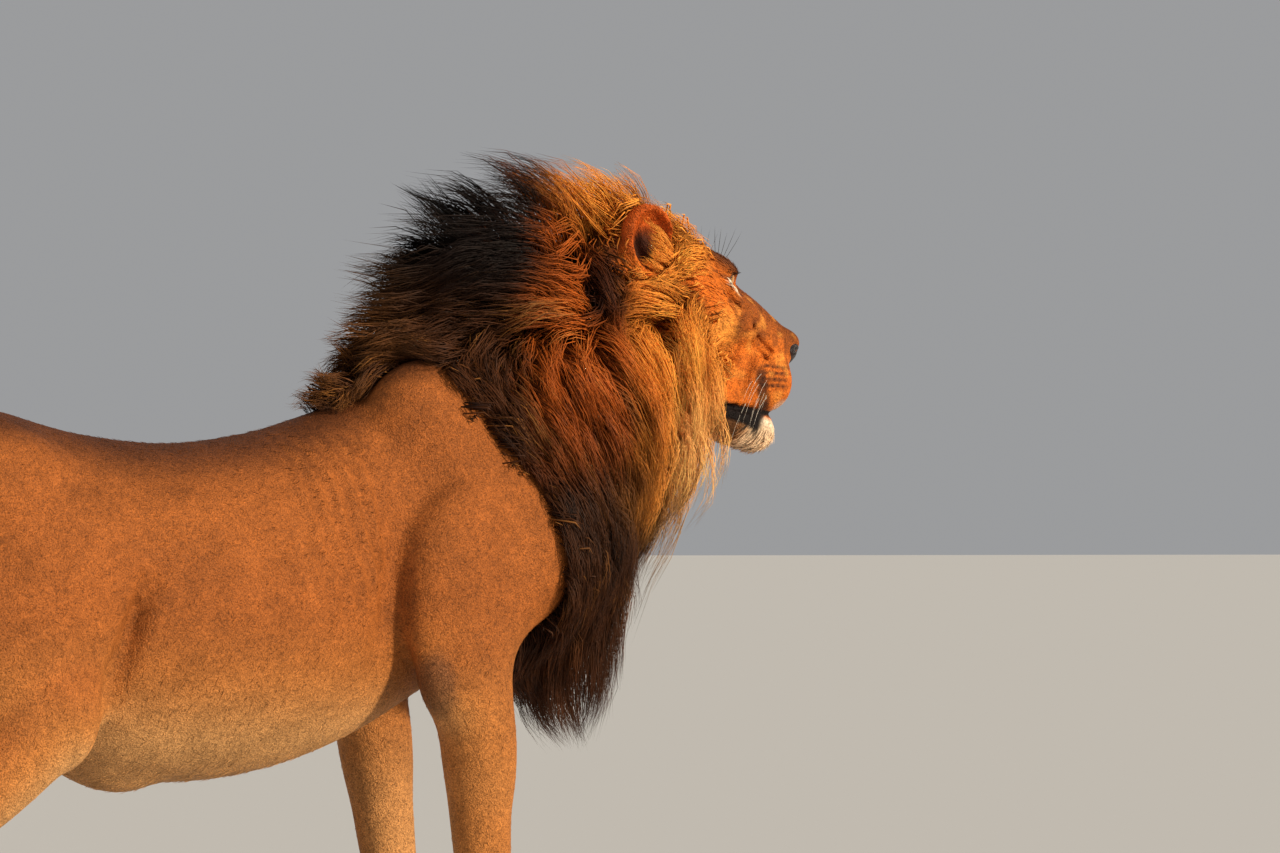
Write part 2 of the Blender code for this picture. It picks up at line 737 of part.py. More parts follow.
# ---- the trunk, less the places of the legs
shoulder_places, foreleg_places, thigh_places, below_stifles = zip(*leg_places)
behind_ribs = Half((-0.28, 0, 0.75), (1, 0, 0.0))
behind_loin = Half((-0.64, 0, 0.75), (1, 0, 0.0))
behind_rump = Half((-1.10, 0, 0.9), (1, 0, 0.0))
node(
    "thorax",
    ((-0.36, -0.30, 0.46), (0.40, 0.30, 1.34)),
    0.012,
    420,
    inside(behind_neck, behind_chest) + outside(behind_ribs, *shoulder_places, *foreleg_places),
)
node(
    "loin_and_belly",
    ((-0.72, -0.28, 0.38), (-0.20, 0.28, 1.12)),
    0.012,
    240,
    inside(behind_ribs) + outside(behind_loin, *thigh_places),
)
node(
    "rump",
    ((-1.18, -0.28, 0.42), (-0.56, 0.28, 1.14)),
    0.010,
    220,
    inside(behind_loin) + outside(behind_rump, *thigh_places, *below_stifles),
)

# ---- the tail
below_tail_base = Half((0, 0, 0.72), (0, 0, 1))
below_tail_middle = Half((0, 0, 0.50), (0, 0, 1))
below_tail_end = Half((0, 0, 0.31), (0, 0, 1))
node(
    "tail_base",
    ((-1.24, -0.075, 0.66), (-1.04, 0.085, 1.02)),
    0.007,
    80,
    inside(behind_rump) + outside(below_tail_base),
)
node(
    "tail_middle",
    ((-1.24, -0.06, 0.44), (-1.10, 0.09, 0.78)),
    0.006,
    60,
    inside(below_tail_base) + outside(below_tail_middle),
    tail(),
)
node(
    "tail_end",
    ((-1.26, -0.04, 0.26), (-1.12, 0.10, 0.56)),
    0.006,
    60,
    inside(below_tail_middle) + outside(below_tail_end),
    tail(),
)
node(
    "tail_tuft",
    ((-1.36, -0.05, 0.03), (-1.14, 0.12, 0.38)),
    0.006,
    120,
    inside(below_tail_end),
    tail(),
)

# ---- what each node is made of
FINISHES = {
    "coat": ((0.45, 0.23, 0.09), 0.75),
    "mane": ((0.12, 0.055, 0.025), 0.7),
    "nose_leather": ((0.03, 0.02, 0.02), 0.45),
    "eye": ((0.45, 0.24, 0.05), 0.08),
}
for finish, (colour, roughness) in FINISHES.items():
    material = bpy.data.materials.new(finish)
    material.use_nodes = True
    shader = material.node_tree.nodes["Principled BSDF"]
    shader.inputs["Base Color"].default_value = (*colour, 1)
    shader.inputs["Roughness"].default_value = roughness
    shader.inputs["Metallic"].default_value = 0


def finish_of(name):
    if name.startswith("eye"):
        return "eye"
    if name == "nose":
        return "nose_leather"
    return "mane" if "mane" in name or name in ("face_ruff", "tail_tuft") else "coat"


# ---- the model's origin goes to the bottom centre of its box, and each node's to its own centre
bodies = list(bpy.data.objects)
corners = np.array([vert.co for body in bodies for vert in body.data.vertices])
low, high = corners.min(0), corners.max(0)
shift = Vector((-(low[0] + high[0]) / 2, -(low[1] + high[1]) / 2, -low[2]))
for body in bodies:
    points = np.array([vert.co for vert in body.data.vertices])
    centre = Vector((points.min(0) + points.max(0)) / 2)
    body.data.transform(Matrix.Translation(-centre))
    body.location = centre + shift
    body.data.shade_smooth()
    body.data.set_sharp_from_angle(angle=math.radians(50))
    body.data.materials.clear()
    body.data.materials.append(bpy.data.materials[finish_of(body.name)])
print("shift", [round(c, 6) for c in shift], "low")
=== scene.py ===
"""The looks of a standing male lion, life size, as a still museum model.

One skin is melted from the same lumps of clay as the solids, a coat's depth under them. The
short coat, the mane, the eyes and the other small parts are then laid over it or set into it.
Metres, +Z up, the lion faces +X. Shapes are worked out in the lion's own space, where x = 0 is at
the shoulder blades, and each finished piece is moved into the frame.
"""

from math import atan2, cos, degrees, pi, radians, sin

import bpy
import numpy as np
from mathutils import Euler, Matrix, Vector


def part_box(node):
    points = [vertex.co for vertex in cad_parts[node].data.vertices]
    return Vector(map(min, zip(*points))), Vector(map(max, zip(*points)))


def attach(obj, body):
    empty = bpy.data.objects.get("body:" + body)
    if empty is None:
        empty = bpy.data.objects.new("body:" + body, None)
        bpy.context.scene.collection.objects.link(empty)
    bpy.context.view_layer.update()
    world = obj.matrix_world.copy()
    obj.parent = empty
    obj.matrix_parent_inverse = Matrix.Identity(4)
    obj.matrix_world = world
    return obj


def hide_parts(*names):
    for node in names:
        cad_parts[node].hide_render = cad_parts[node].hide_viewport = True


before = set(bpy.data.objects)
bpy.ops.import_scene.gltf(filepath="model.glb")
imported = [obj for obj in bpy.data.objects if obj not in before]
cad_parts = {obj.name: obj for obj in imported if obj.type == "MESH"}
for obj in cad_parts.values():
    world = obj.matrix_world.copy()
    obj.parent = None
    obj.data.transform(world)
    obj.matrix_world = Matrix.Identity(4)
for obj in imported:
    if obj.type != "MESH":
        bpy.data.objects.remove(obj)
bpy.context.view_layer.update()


# ======== the skin
# Hide over muscle and bone, from nose to tail tip, with the ears, lids, lips and toes in it.
# Melted from eggs, rods and one barrel into a distance field, skinned where the field is zero.
SIDES = {"left": 1, "right": -1}
EYE_HEIGHT = 1.285
SCAPULA = Vector((-0.005, 0.078, 1.055))
SHOULDER = Vector((0.165, 0.135, 0.83))
ELBOW = Vector((0.0, 0.165, 0.6))
WRIST = Vector((0.062, 0.16, 0.215))
HIP = Vector((-0.91, 0.105, 0.87))
STIFLE = Vector((-0.76, 0.155, 0.57))
HOCK = Vector((-1.045, 0.135, 0.32))
PASTERN = (0.035, -0.135)
CANNON = (0.045, -0.235)
FORE_PAW, HIND_PAW = 1.0, 0.9
FORE_STEP = {"left": 0.05, "right": 0.0}
HIND_STEP = {"left": 0.13, "right": -0.02}
HEAD_AT = Vector((0.652, -0.035, EYE_HEIGHT))
HEAD_TURN = Euler((0, radians(13), radians(-18)))
HEAD = Matrix.Translation(HEAD_AT) @ HEAD_TURN.to_matrix().to_4x4()
HEAD_AXES = np.array(HEAD_TURN.to_matrix())
EYE = Vector((-0.014, 0.056, 0.003))
EYE_RADIUS = 0.0195
EAR = Vector((-0.178, 0.112, 0.024))
LIP_HEIGHT = -0.203
SKIN_TRIANGLES = 170000
SKIN_LIFT = 0.0012
CREASE_HEIGHT, CREASE_APART = 0.0036, 0.034
FAR = 1.0
CORNERS = [(i, j, k) for i in (0, 1) for j in (0, 1) for k in (0, 1)]

eye_low, eye_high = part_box("eye_left")
MOVE = (eye_low + eye_high) / 2 - HEAD @ EYE


class Egg:
    """An ellipsoid: its centre, half sizes, turn in degrees, and how softly it melts in."""

    def __init__(self, at, size, turn=(0, 0, 0), melt=0.04, space=Matrix()):
        self.size = np.array(size)
        place = Euler([radians(a) for a in turn]).to_matrix().to_4x4()
        self.matrix = space @ Matrix.Translation(at) @ place
        self.centre = np.array(self.matrix.translation)
        self.axes = np.array(self.matrix.to_3x3())
        self.melt = melt

    def box(self):
        reach = np.sqrt(((self.axes * self.size) ** 2).sum(1))
        return self.centre - reach, self.centre + reach

    def distance(self, x, y, z):
        local = [
            (x - self.centre[0]) * a[0] + (y - self.centre[1]) * a[1] + (z - self.centre[2]) * a[2]
            for a in self.axes.T
        ]
        near = sum((p / r) ** 2 for p, r in zip(local, self.size))
        steep = sum((p / r**2) ** 2 for p, r in zip(local, self.size))
        near, steep = np.sqrt(near), np.sqrt(steep) + 1e-6
        return near * (near - 1) / steep


class Limb:
    """A tapered rod with round ends, from a to b, thinner across the body by a share."""

    def __init__(self, a, b, radii, thin=1.0, swell=0.0, melt=0.04, space=Matrix()):
        self.ends = [np.array(space @ Vector(p)) for p in (a, b)]
        self.radii = radii
        self.thin = thin
        self.swell = swell
        self.melt = melt

    def box(self):
        reach = max(self.radii) + self.swell
        return np.minimum(*self.ends) - reach, np.maximum(*self.ends) + reach

    def distance(self, x, y, z):
        (ax, ay, az), (bx, by, bz) = self.ends
        ay, by, y = ay / self.thin, by / self.thin, y / self.thin
        dx, dy, dz = bx - ax, by - ay, bz - az
        along = (x - ax) * dx + (y - ay) * dy + (z - az) * dz
        along = np.clip(along / (dx * dx + dy * dy + dz * dz), 0, 1)
        off = np.sqrt(
            (x - ax - along * dx) ** 2 + (y - ay - along * dy) ** 2 + (z - az - along * dz) ** 2
        )
        radius = self.radii[0] + (self.radii[1] - self.radii[0]) * along
        return (off - radius - self.swell * 4 * along * (1 - along)) * self.thin


class Barrel:
    """The trunk: oval sections strung along x, each with its top, bottom and half width."""

    def __init__(self, stations, melt=0.04):
        self.stations = np.array(sorted(stations))
        self.melt = melt

    def section(self, x):
        """The centre height, half height and half width at x, on curves through the stations."""
        s = self.stations
        at = np.clip(x, s[0, 0], s[-1, 0])
        i = np.clip(np.searchsorted(s[:, 0], at) - 1, 0, len(s) - 2)
        slopes = np.gradient(s[:, 1:], s[:, 0], axis=0)
        step = (s[i + 1, 0] - s[i, 0])[:, None]
        t = ((at - s[i, 0]) / step[:, 0])[:, None]
        curve = (
            (2 * t**3 - 3 * t**2 + 1) * s[i, 1:]
            + (t**3 - 2 * t**2 + t) * step * slopes[i]
            + (3 * t**2 - 2 * t**3) * s[i + 1, 1:]
            + (t**3 - t**2) * step * slopes[i + 1]
        )
        top, bottom, width = curve.T
        return (top + bottom) / 2, (top - bottom) / 2, width

    def box(self):
        s = self.stations
        low = (s[0, 0] - 0.05, -s[:, 3].max(), s[:, 2].min())
        high = (s[-1, 0] + 0.05, s[:, 3].max(), s[:, 1].max())
        return np.array(low), np.array(high)

    def distance(self, x, y, z):
        centre, height, width = (v[:, None, None] for v in self.section(x.ravel()))
        past = x - np.clip(x, self.stations[0, 0], self.stations[-1, 0])
        z = z - centre
        near = np.sqrt((y / width) ** 2 + (z / height) ** 2)
        steep = np.sqrt((y / width**2) ** 2 + (z / height**2) ** 2) + 1e-6
        return near * (near - 1) / steep + np.abs(past)


def both_sides(make):
    """The lumps that make(side) gives for the left side, 1, and for the right side, -1."""
    return [lump for side in SIDES.values() for lump in make(side)]


def mirrored(point, side):
    return Vector((point[0], point[1] * side, point[2]))


def by(point, ahead, up, aside=0):
    """The place that lies this far ahead of, above and beside a point."""
    return point + Vector((ahead, aside, up))


TRUNK = [
    Barrel(
        (
            (0.31, 0.98, 0.76, 0.09), (0.2, 1.06, 0.67, 0.14), (0.05, 1.085, 0.6, 0.15),
            (-0.12, 1.075, 0.515, 0.162), (-0.3, 1.03, 0.462, 0.193), (-0.48, 1.01, 0.445, 0.212),
            (-0.66, 1.025, 0.465, 0.2), (-0.82, 1.055, 0.56, 0.168), (-0.97, 1.045, 0.7, 0.13),
            (-1.08, 0.97, 0.8, 0.075),
        )
    ),
    Egg((0.27, 0, 0.84), (0.1, 0.12, 0.15), melt=0.06),
    Egg((-0.93, 0, 0.93), (0.17, 0.13, 0.12), (0, -10, 0), 0.06),
    Egg((-0.62, 0, 0.5), (0.1, 0.035, 0.05), (0, 25, 0), 0.05),
    Egg((-1.012, 0, 0.725), (0.036, 0.042, 0.055)),
    Limb((0.08, 0, 0.98), (0.43, -0.01, 1.24), (0.19, 0.125), thin=0.82, melt=0.08),
    Limb((0.22, 0, 0.88), (0.46, -0.01, 1.16), (0.15, 0.11), thin=0.85, melt=0.08),
]


def foreleg(name):
    side, step = SIDES[name], Vector((FORE_STEP[name], 0, 0))
    scapula, shoulder = mirrored(SCAPULA, side), mirrored(SHOULDER, side)
    elbow, wrist = mirrored(ELBOW, side) + step * 0.5, mirrored(WRIST, side) + step
    pastern = by(wrist, *PASTERN)
    return [
        Egg(scapula, (0.088, 0.055, 0.078), melt=0.05),
        Limb(scapula, shoulder, (0.082, 0.098), thin=0.66, swell=0.012),
        Egg(by(shoulder, -0.005, 0), (0.095, 0.062, 0.115), melt=0.05),
        Limb(by(shoulder, 0, 0, -side * 0.005), elbow, (0.088, 0.06), thin=0.85),
        Egg(by(elbow, 0, 0.175), (0.112, 0.055, 0.165), (0, 12, 0)),
        Egg(by(elbow, -0.036, 0.018), (0.034, 0.03, 0.048)),
        Limb(by(elbow, 0.028, 0.03), wrist, (0.066, 0.045), thin=0.88, swell=0.004),
        Egg(by(elbow, 0.045, -0.07), (0.056, 0.053, 0.13), (0, -8, 0)),
        Egg(by(wrist, 0, -0.005), (0.047, 0.044, 0.058), melt=0.03),
        Limb(wrist, pastern, (0.044, 0.047), thin=1.05, melt=0.03),
        *paw(pastern, FORE_PAW),
    ]


def hindleg(name):
    side, step = SIDES[name], Vector((HIND_STEP[name], 0, 0))
    hip, stifle = mirrored(HIP, side), mirrored(STIFLE, side) + step * 0.45
    hock = mirrored(HOCK, side) + step
    cannon, thigh = by(hock, *CANNON), by((hip + stifle) / 2, 0.015, -0.005)
    return [
        Egg(by(hip, 0, 0.045, -side * 0.02), (0.15, 0.082, 0.115), (0, -12, 0), 0.06),
        Egg(thigh, (0.135, 0.083, 0.22), (0, 38, 0), 0.05),
        Egg(by(hip, -0.06, -0.13), (0.085, 0.072, 0.19), (0, -8, 0), 0.05),
        Egg(by(stifle, 0, 0.005, -side * 0.005), (0.072, 0.056, 0.095)),
        Limb(by(stifle, -0.055, -0.015), by(hock, 0.015, 0.02), (0.088, 0.043), thin=0.78, swell=0.01),
        Limb(by(hock, 0.06, 0.22), by(hock, -0.022, 0.03), (0.045, 0.024), thin=0.7),
        Egg(by(hock, -0.012, 0.012), (0.048, 0.037, 0.052), melt=0.03),
        Limb(hock, cannon, (0.043, 0.043), thin=0.92, melt=0.03),
        *paw(cannon, HIND_PAW),
    ]


TOES = ((0.092, -0.049), (0.115, -0.018), (0.115, 0.018), (0.092, 0.049))
TOES_APART = 1.03
TOE_FAN = 0.16


def paw(ankle, scale):
    """Four toes in an arc before a broad foot, which stands on its pads."""
    sole = Vector((ankle.x, ankle.y, 0))
    lumps = [
        Egg(sole + Vector((0.045, 0, 0.048)) * scale, np.array((0.078, 0.062, 0.046)) * scale, melt=0.03),
        Egg(sole + Vector((-0.005, 0, 0.03)) * scale, np.array((0.055, 0.052, 0.036)) * scale, melt=0.02),
    ]
    for ahead, aside in TOES:
        place = sole + Vector((ahead, aside * TOES_APART, 0.031)) * scale
        spread = degrees(atan2(aside, TOE_FAN))
        size = np.array((0.042, 0.0205, 0.034)) * scale
        lumps.append(Egg(place, size, (0, 0, spread), melt=0.008))
    return lumps


TAIL = (
    ((-1.05, 0.0, 0.955), 0.052), ((-1.125, 0.0, 0.86), 0.036), ((-1.165, 0.005, 0.72), 0.028),
    ((-1.175, 0.015, 0.56), 0.024), ((-1.175, 0.025, 0.42), 0.021), ((-1.2, 0.03, 0.31), 0.02),
)
TAIL_STOPS = [*TAIL, ((-1.235, 0.033, 0.235), 0.014)]
TAIL_THIN = 0.86
BONY_TAIL = [
    Limb(a, b, (ra * TAIL_THIN, rb * TAIL_THIN), melt=0.02)
    for (a, ra), (b, rb) in zip(TAIL_STOPS, TAIL_STOPS[1:])
]


def egg(at, size, turn=(0, 0, 0), melt=0.03):
    """An egg in the head's own space: x to the nose, z up, origin between the eyes."""
    return Egg(at, size, turn, melt, HEAD)


def rod(a, b, radii, melt=0.03):
    return Limb(a, b, radii, melt=melt, space=HEAD)


def half_face(s):
    return [
        egg((-0.085, s * 0.072, -0.075), (0.09, 0.052, 0.095)),
        egg((-0.024, s * 0.046, 0.022), (0.04, 0.029, 0.021), (0, 12, s * -8), 0.02),
        egg((-0.012, s * 0.054, 0.001), (0.03, 0.027, 0.026), (0, 0, s * 15), 0.015),
        egg((0.012, s * 0.048, -0.06), (0.062, 0.036, 0.042), (0, 14, s * -14)),
        egg((0.112, s * 0.03, -0.15), (0.05, 0.036, 0.054), (0, 6, s * -6), 0.015),
        egg((0.076, s * 0.043, -0.16), (0.056, 0.026, 0.046), (0, 6, s * -14), 0.02),
        rod((-0.08, s * 0.066, -0.164), (0.07, s * 0.034, -0.224), (0.052, 0.035)),
    ]


def ear_turn(side):
    return (side * 12, -14, side * 10)


def half_hollows(s):
    """An ear cup, an eye opening, the face's soft creases, and the line of the mouth."""
    cup = by(mirrored(EAR, s), 0.009, 0.003, s * 0.025)
    return [
        egg(cup, (0.042, 0.046, 0.056), ear_turn(s), 0.006),
        egg((0.0145, s * 0.067, 0.003), (0.021, 0.016, 0.0105), (0, 8, s * 24), 0.004),
        rod((0.066, s * 0.06, -0.098), (0.058, s * 0.073, -0.17), (0.003, 0.004), 0.014),
        rod((-0.004, s * 0.074, -0.026), (0.056, s * 0.054, -0.066), (0.0006, 0.001), 0.012),
        rod((0.07, s * 0.05, -0.08), (0.103, s * 0.043, -0.098), (0.0006, 0.0012), 0.006),
        rod((0.066, s * 0.056, -0.096), (0.096, s * 0.049, -0.112), (0.0006, 0.0012), 0.006),
        rod((0.16, s * 0.004, -0.192), (0.132, s * 0.043, -0.201), (0.0022, 0.0025), 0.005),
        rod((0.132, s * 0.043, -0.201), (0.1, s * 0.057, -0.204), (0.0025, 0.003), 0.006),
        rod((0.1, s * 0.057, -0.204), (0.034, s * 0.069, -0.208), (0.003, 0.004), 0.007),
    ]


def half_folds(s):
    """The crease between the ribs and the upper arm, and the one behind the flank."""
    return [
        Egg((-0.13, s * 0.19, 0.77), (0.016, 0.04, 0.2), (0, 6, 0), 0.03),
        Egg((-0.7, s * 0.185, 0.6), (0.012, 0.022, 0.14), (0, 18, 0), 0.03),
    ]


SKULL = [
    egg((-0.14, 0, -0.006), (0.125, 0.092, 0.082)),
    egg((-0.065, 0, -0.01), (0.085, 0.07, 0.06), (0, 14, 0)),
    rod((-0.02, 0, -0.015), (0.126, 0, -0.076), (0.036, 0.031)),
    egg((0.143, 0, -0.071), (0.0265, 0.028, 0.0225), melt=0.012),
    egg((0.02, 0, -0.096), (0.1, 0.058, 0.085), (0, 12, 0)),
    egg((0.085, 0, -0.115), (0.07, 0.05, 0.062)),
    egg((0.113, 0, -0.232), (0.046, 0.04, 0.04), (0, 4, 0), 0.02),
    egg((0.035, 0, -0.216), (0.09, 0.05, 0.046)),
    *both_sides(half_face),
]
EARS = both_sides(lambda s: [egg(mirrored(EAR, s), (0.051, 0.037, 0.067), ear_turn(s), 0.012)])
LIP_GROOVE = rod((0.158, 0, -0.105), (0.16, 0, -0.192), (0.0025, 0.003), 0.006)
HOLLOWS = [*both_sides(half_folds), LIP_GROOVE, *both_sides(half_hollows)]
FLESH = TRUNK + [lump for leg in (foreleg, hindleg) for name in SIDES for lump in leg(name)]


def melted(lumps, hollows, axes):
    """The field of the lumps melted together, less the hollows, on a grid with these axes."""
    field = np.full([len(a) for a in axes], FAR, np.float32)
    reach = 3 * max(np.diff(a).max() for a in axes)
    for number, lump in enumerate([*lumps, *hollows]):
        low, high = lump.box()
        part = tuple(
            slice(*np.searchsorted(a, (lo - lump.melt - reach, hi + lump.melt + reach)))
            for a, lo, hi in zip(axes, low, high)
        )
        block = field[part]
        if block.size:
            grid = [a[s].astype(np.float32) for a, s in zip(axes, part)]
            away = lump.distance(*np.meshgrid(*grid, indexing="ij", sparse=True))
            sign = 1 if number < len(lumps) else -1
            field[part] = sign * soft_min(sign * block, away, lump.melt)
    return field


def soft_min(a, b, melt):
    h = np.maximum(melt - np.abs(a - b), 0) / melt
    return np.minimum(a, b) - h * h * melt / 4


def stepped(*stops):
    """Grid places from stop to stop. Each stop is where a stretch starts, and its step."""
    stretches = [
        np.linspace(start, end, round((end - start) / step), endpoint=False)
        for (start, step), (end, _) in zip(stops, stops[1:])
    ]
    return np.concatenate(stretches)


def skinned(field, axes):
    """The closed skin where the field is zero: one point in each crossed cell, four to a face."""
    inside = field < 0
    cells = [n - 1 for n in field.shape]

    def corner(array, c):
        return array[tuple(slice(o, o + n) for o, n in zip(c, cells))]

    count = sum(corner(inside, c).astype(np.int8) for c in CORNERS)
    crossed = (count > 0) & (count < len(CORNERS))
    index = np.full(cells, -1, np.int32)
    index[crossed] = np.arange(crossed.sum())
    total, hits = np.zeros((crossed.sum(), 3)), np.zeros(crossed.sum())
    values = {c: corner(field, c)[crossed] for c in CORNERS}
    for axis in range(3):
        for c in (c for c in CORNERS if c[axis] == 0):
            d = tuple(1 if a == axis else v for a, v in enumerate(c))
            cuts = (values[c] < 0) != (values[d] < 0)
            share = np.where(cuts, values[c] / np.where(cuts, values[c] - values[d], 1), 0)
            place = np.tile(np.array(c, float), (len(share), 1))
            place[:, axis] = share
            total += place * cuts[:, None]
            hits += cuts
    where = np.stack(np.nonzero(crossed), 1) + total / hits[:, None]
    points = np.stack([np.interp(where[:, a], np.arange(len(axes[a])), axes[a]) for a in range(3)], 1)
    faces = []
    for axis in range(3):
        low = tuple(slice(0, -1) if a == axis else slice(1, -1) for a in range(3))
        high = tuple(slice(1, None) if a == axis else slice(1, -1) for a in range(3))
        change = inside[low] != inside[high]
        around = []
        for u, v in ((0, 0), (1, 0), (1, 1), (0, 1)):
            shift = {(axis + 1) % 3: u, (axis + 2) % 3: v}
            pick = tuple(
                slice(None) if a == axis else slice(shift[a], shift[a] + change.shape[a])
                for a in range(3)
            )
            around.append(index[pick][change])
        quads = np.stack(around, 1)
        outward = inside[low][change]
        faces.append(np.where(outward[:, None], quads, quads[:, ::-1]))
    return points, np.concatenate(faces)


def linked(name, data):
    """A new object in the scene with this mesh, light or camera."""
    made = bpy.data.objects.new(name, data)
    bpy.context.collection.objects.link(made)
    return made


def piece_of(name, points, faces):
    """A new mesh object, moved into the frame. Every face has the same number of corners."""
    mesh = bpy.data.meshes.new(name)
    count, corners = faces.shape
    mesh.vertices.add(len(points))
    mesh.vertices.foreach_set("co", (points + np.array(MOVE)).astype(np.float32).ravel())
    mesh.loops.add(count * corners)
    mesh.loops.foreach_set("vertex_index", faces.astype(np.int32).ravel())
    mesh.polygons.add(count)
    mesh.polygons.foreach_set("loop_start", np.arange(0, count * corners, corners, dtype=np.int32))
    mesh.polygons.foreach_set("use_smooth", np.ones(count, bool))
    mesh.update(calc_edges=True)
    return linked(name, mesh)


def even_out(piece):
    """Gives the piece two light rounds of smoothing."""
    even = piece.modifiers.new("even", "SMOOTH")
    even.factor, even.iterations = 0.5, 2


def shaped(piece):
    """What the piece's modifiers make of it, as a plain mesh."""
    evaluated = piece.evaluated_get(bpy.context.evaluated_depsgraph_get())
    return bpy.data.meshes.new_from_object(evaluated)


def settle(piece):
    """Gives the piece the mesh that its modifiers make, and takes them off."""
    mesh = shaped(piece)
    piece.modifiers.clear()
    piece.data = mesh


def numbers(items, field, width=3):
    """A field of every item of a mesh, as rows of numbers."""
    found = np.empty(len(items) * width, np.float32)
    items.foreach_get(field, found)
    return found.reshape(-1, width)


def own_points(mesh):
    """The mesh's points in the lion's own space."""
    return numbers(mesh.vertices, "co") - np.array(MOVE)


def store(mesh, name, kind, field, values):
    """Writes one value a point into a named attribute of the mesh."""
    layer = mesh.attributes.new(name, kind, "POINT")
    layer.data.foreach_set(field, np.ascontiguousarray(values, np.float32).ravel())


def ramp(value, low, high):
    """0 up to low, 1 from high on, and smooth between them. Low may be the larger one."""
    t = np.clip((value - low) / (high - low), 0, 1)
    return t * t * (3 - 2 * t)


def unit(vectors):
    return vectors / np.maximum(np.linalg.norm(vectors, axis=-1, keepdims=True), 1e-9)


def head_space(points):
    """Points of the lion in the head's own space."""
    return (points - np.array(HEAD_AT)) @ HEAD_AXES


def from_head(points):
    return points @ HEAD_AXES.T + np.array(HEAD_AT)


def off_ears(local):
    """How far points of the head's space are from the middle of the nearer ear."""
    return np.min([np.linalg.norm(local - np.array(mirrored(EAR, s)), axis=1) for s in (1, -1)], axis=0)


def coat_depth(x, y, z):
    """How far the skin lies under the coat's surface: least on the face, the ears and the feet."""
    depth = np.interp(z, (0.0, 0.1, 0.45, 0.75), (0.002, 0.003, 0.004, 0.007))
    bare_places = [(HEAD_AT, 0.08, (0.2, 0.32), 0.003)]
    bare_places += [(HEAD @ mirrored(EAR, s), 0, (0.075, 0.1), 0.001) for s in SIDES.values()]
    for at, drop, reach, least in bare_places:
        off = np.sqrt((x - at.x) ** 2 + (y - at.y) ** 2 + (z - at.z + drop) ** 2)
        depth = np.minimum(depth, np.interp(off, reach, (least, 0.007)))
    return depth


def wrinkles(x, y, z):
    """The standing creases of loose hide behind the shoulder, as a small push outwards."""
    lean = x + 0.22 * (z - 0.9) + 0.006 * np.sin(z * 31)
    where = ramp(x, -0.36, -0.26) * ramp(x, -0.1, -0.16) * ramp(z, 0.66, 0.82) * ramp(z, 1.04, 0.98)
    return CREASE_HEIGHT * where * np.sin(lean * 2 * pi / CREASE_APART)


skin_axes = (
    stepped(
        (-1.31, 0.01), (-1.06, 0.0058), (-0.7, 0.01), (-0.37, 0.006), (-0.09, 0.01), (0.04, 0.0062),
        (0.32, 0.0075), (0.42, 0.0045), (0.6, 0.0028), (0.72, 0.0032), (0.86, 0),
    ),
    stepped((-0.26, 0.0055), (-0.15, 0.0034), (0.07, 0.0055), (0.26, 0)),
    stepped(
        (-0.03, 0.0055), (0.12, 0.01), (0.96, 0.006), (1.04, 0.0034), (1.23, 0.0026), (1.33, 0.0036),
        (1.46, 0),
    ),
)
grid = np.meshgrid(*skin_axes, indexing="ij", sparse=True)
skin_field = melted(FLESH + BONY_TAIL + SKULL + EARS, HOLLOWS, skin_axes)
skin_field += coat_depth(*grid).astype(np.float32)
skin_field -= wrinkles(*grid).astype(np.float32)
skin_field = np.maximum(skin_field, (SKIN_LIFT - grid[2]).astype(np.float32))
skin = piece_of("skin", *skinned(skin_field, skin_axes))
even_out(skin)
plain = skin.vertex_groups.new(name="plain")
raw_points = own_points(skin.data)
fine = (raw_points[:, 0] > 0.44) & (raw_points[:, 2] > 1.02)
for chosen, weight in ((~fine, 1.0), (fine, 0.15)):
    plain.add([int(i) for i in np.nonzero(chosen)[0]], weight, "REPLACE")
thin = skin.modifiers.new("thin", "DECIMATE")
thin.ratio = SKIN_TRIANGLES / (2 * len(skin.data.polygons))
thin.vertex_group = "plain"
settle(skin)


def linear(*screen):
    """A colour given as it looks on a screen, 0 to 255, as linear light."""
    return np.array([((v / 255 + 0.055) / 1.055) ** 2.4 for v in screen])


TAWNY = linear(148, 82, 34)
SADDLE = linear(76, 40, 19)
SAND = linear(172, 110, 54)
PALE_SAND = linear(198, 150, 96)
CALLUS = linear(84, 60, 44)
FOX = linear(192, 98, 28)
BRIDGE = linear(104, 54, 20)
CREAM = linear(238, 222, 196)
STRAW = linear(232, 150, 62)
# Dark brown for the face's real marks, and also for painted shade under the jaw, in the ear hollows and
# behind the ears.
DARK_MARK_AND_SHADE = linear(44, 24, 16)
LIP_BLACK = linear(22, 15, 14)
EAR_BACK = linear(48, 26, 16)
EAR_INSIDE = linear(184, 80, 26)
PAD_LEATHER = linear(48, 36, 32)


def painted(tone, *coats):
    """The tones with colours laid over them in turn, each by its share at every point."""
    for colour, share in coats:
        tone = tone + (colour - tone) * np.asarray(share)[..., None]
    return tone


def patch(points, at, size):
    """1 at a place, fading to nothing at an egg of this size round it."""
    away = (((points - np.array(at)) / np.array(size)) ** 2).sum(1)
    return ramp(away, 1.0, 0.25)


def between(table, base, t):
    """The table's numbers at the eight corners of cells, mixed by the place t in each cell."""
    total = 0
    for corner in CORNERS:
        share = np.prod(np.where(np.array(corner), t, 1 - t), axis=-1)
        total = total + share * table[tuple(np.moveaxis((base + corner) % table.shape, -1, 0))]
    return total


def cloud(points, size, seed):
    """Soft random numbers from -1 to 1, one a point, that change over about this length."""
    table = np.random.default_rng(seed).uniform(-1, 1, (16, 16, 16))
    place = points / size + 31.7
    base = np.floor(place).astype(int)
    t = place - base
    return between(table, base, t * t * (3 - 2 * t))


def mottled(tone, points, *clouds):
    """The tones made uneven by clouds, each with its strength, size and seed."""
    mottle = sum(strength * cloud(points, size, seed) for strength, size, seed in clouds)
    return tone * (1 + mottle)[:, None]


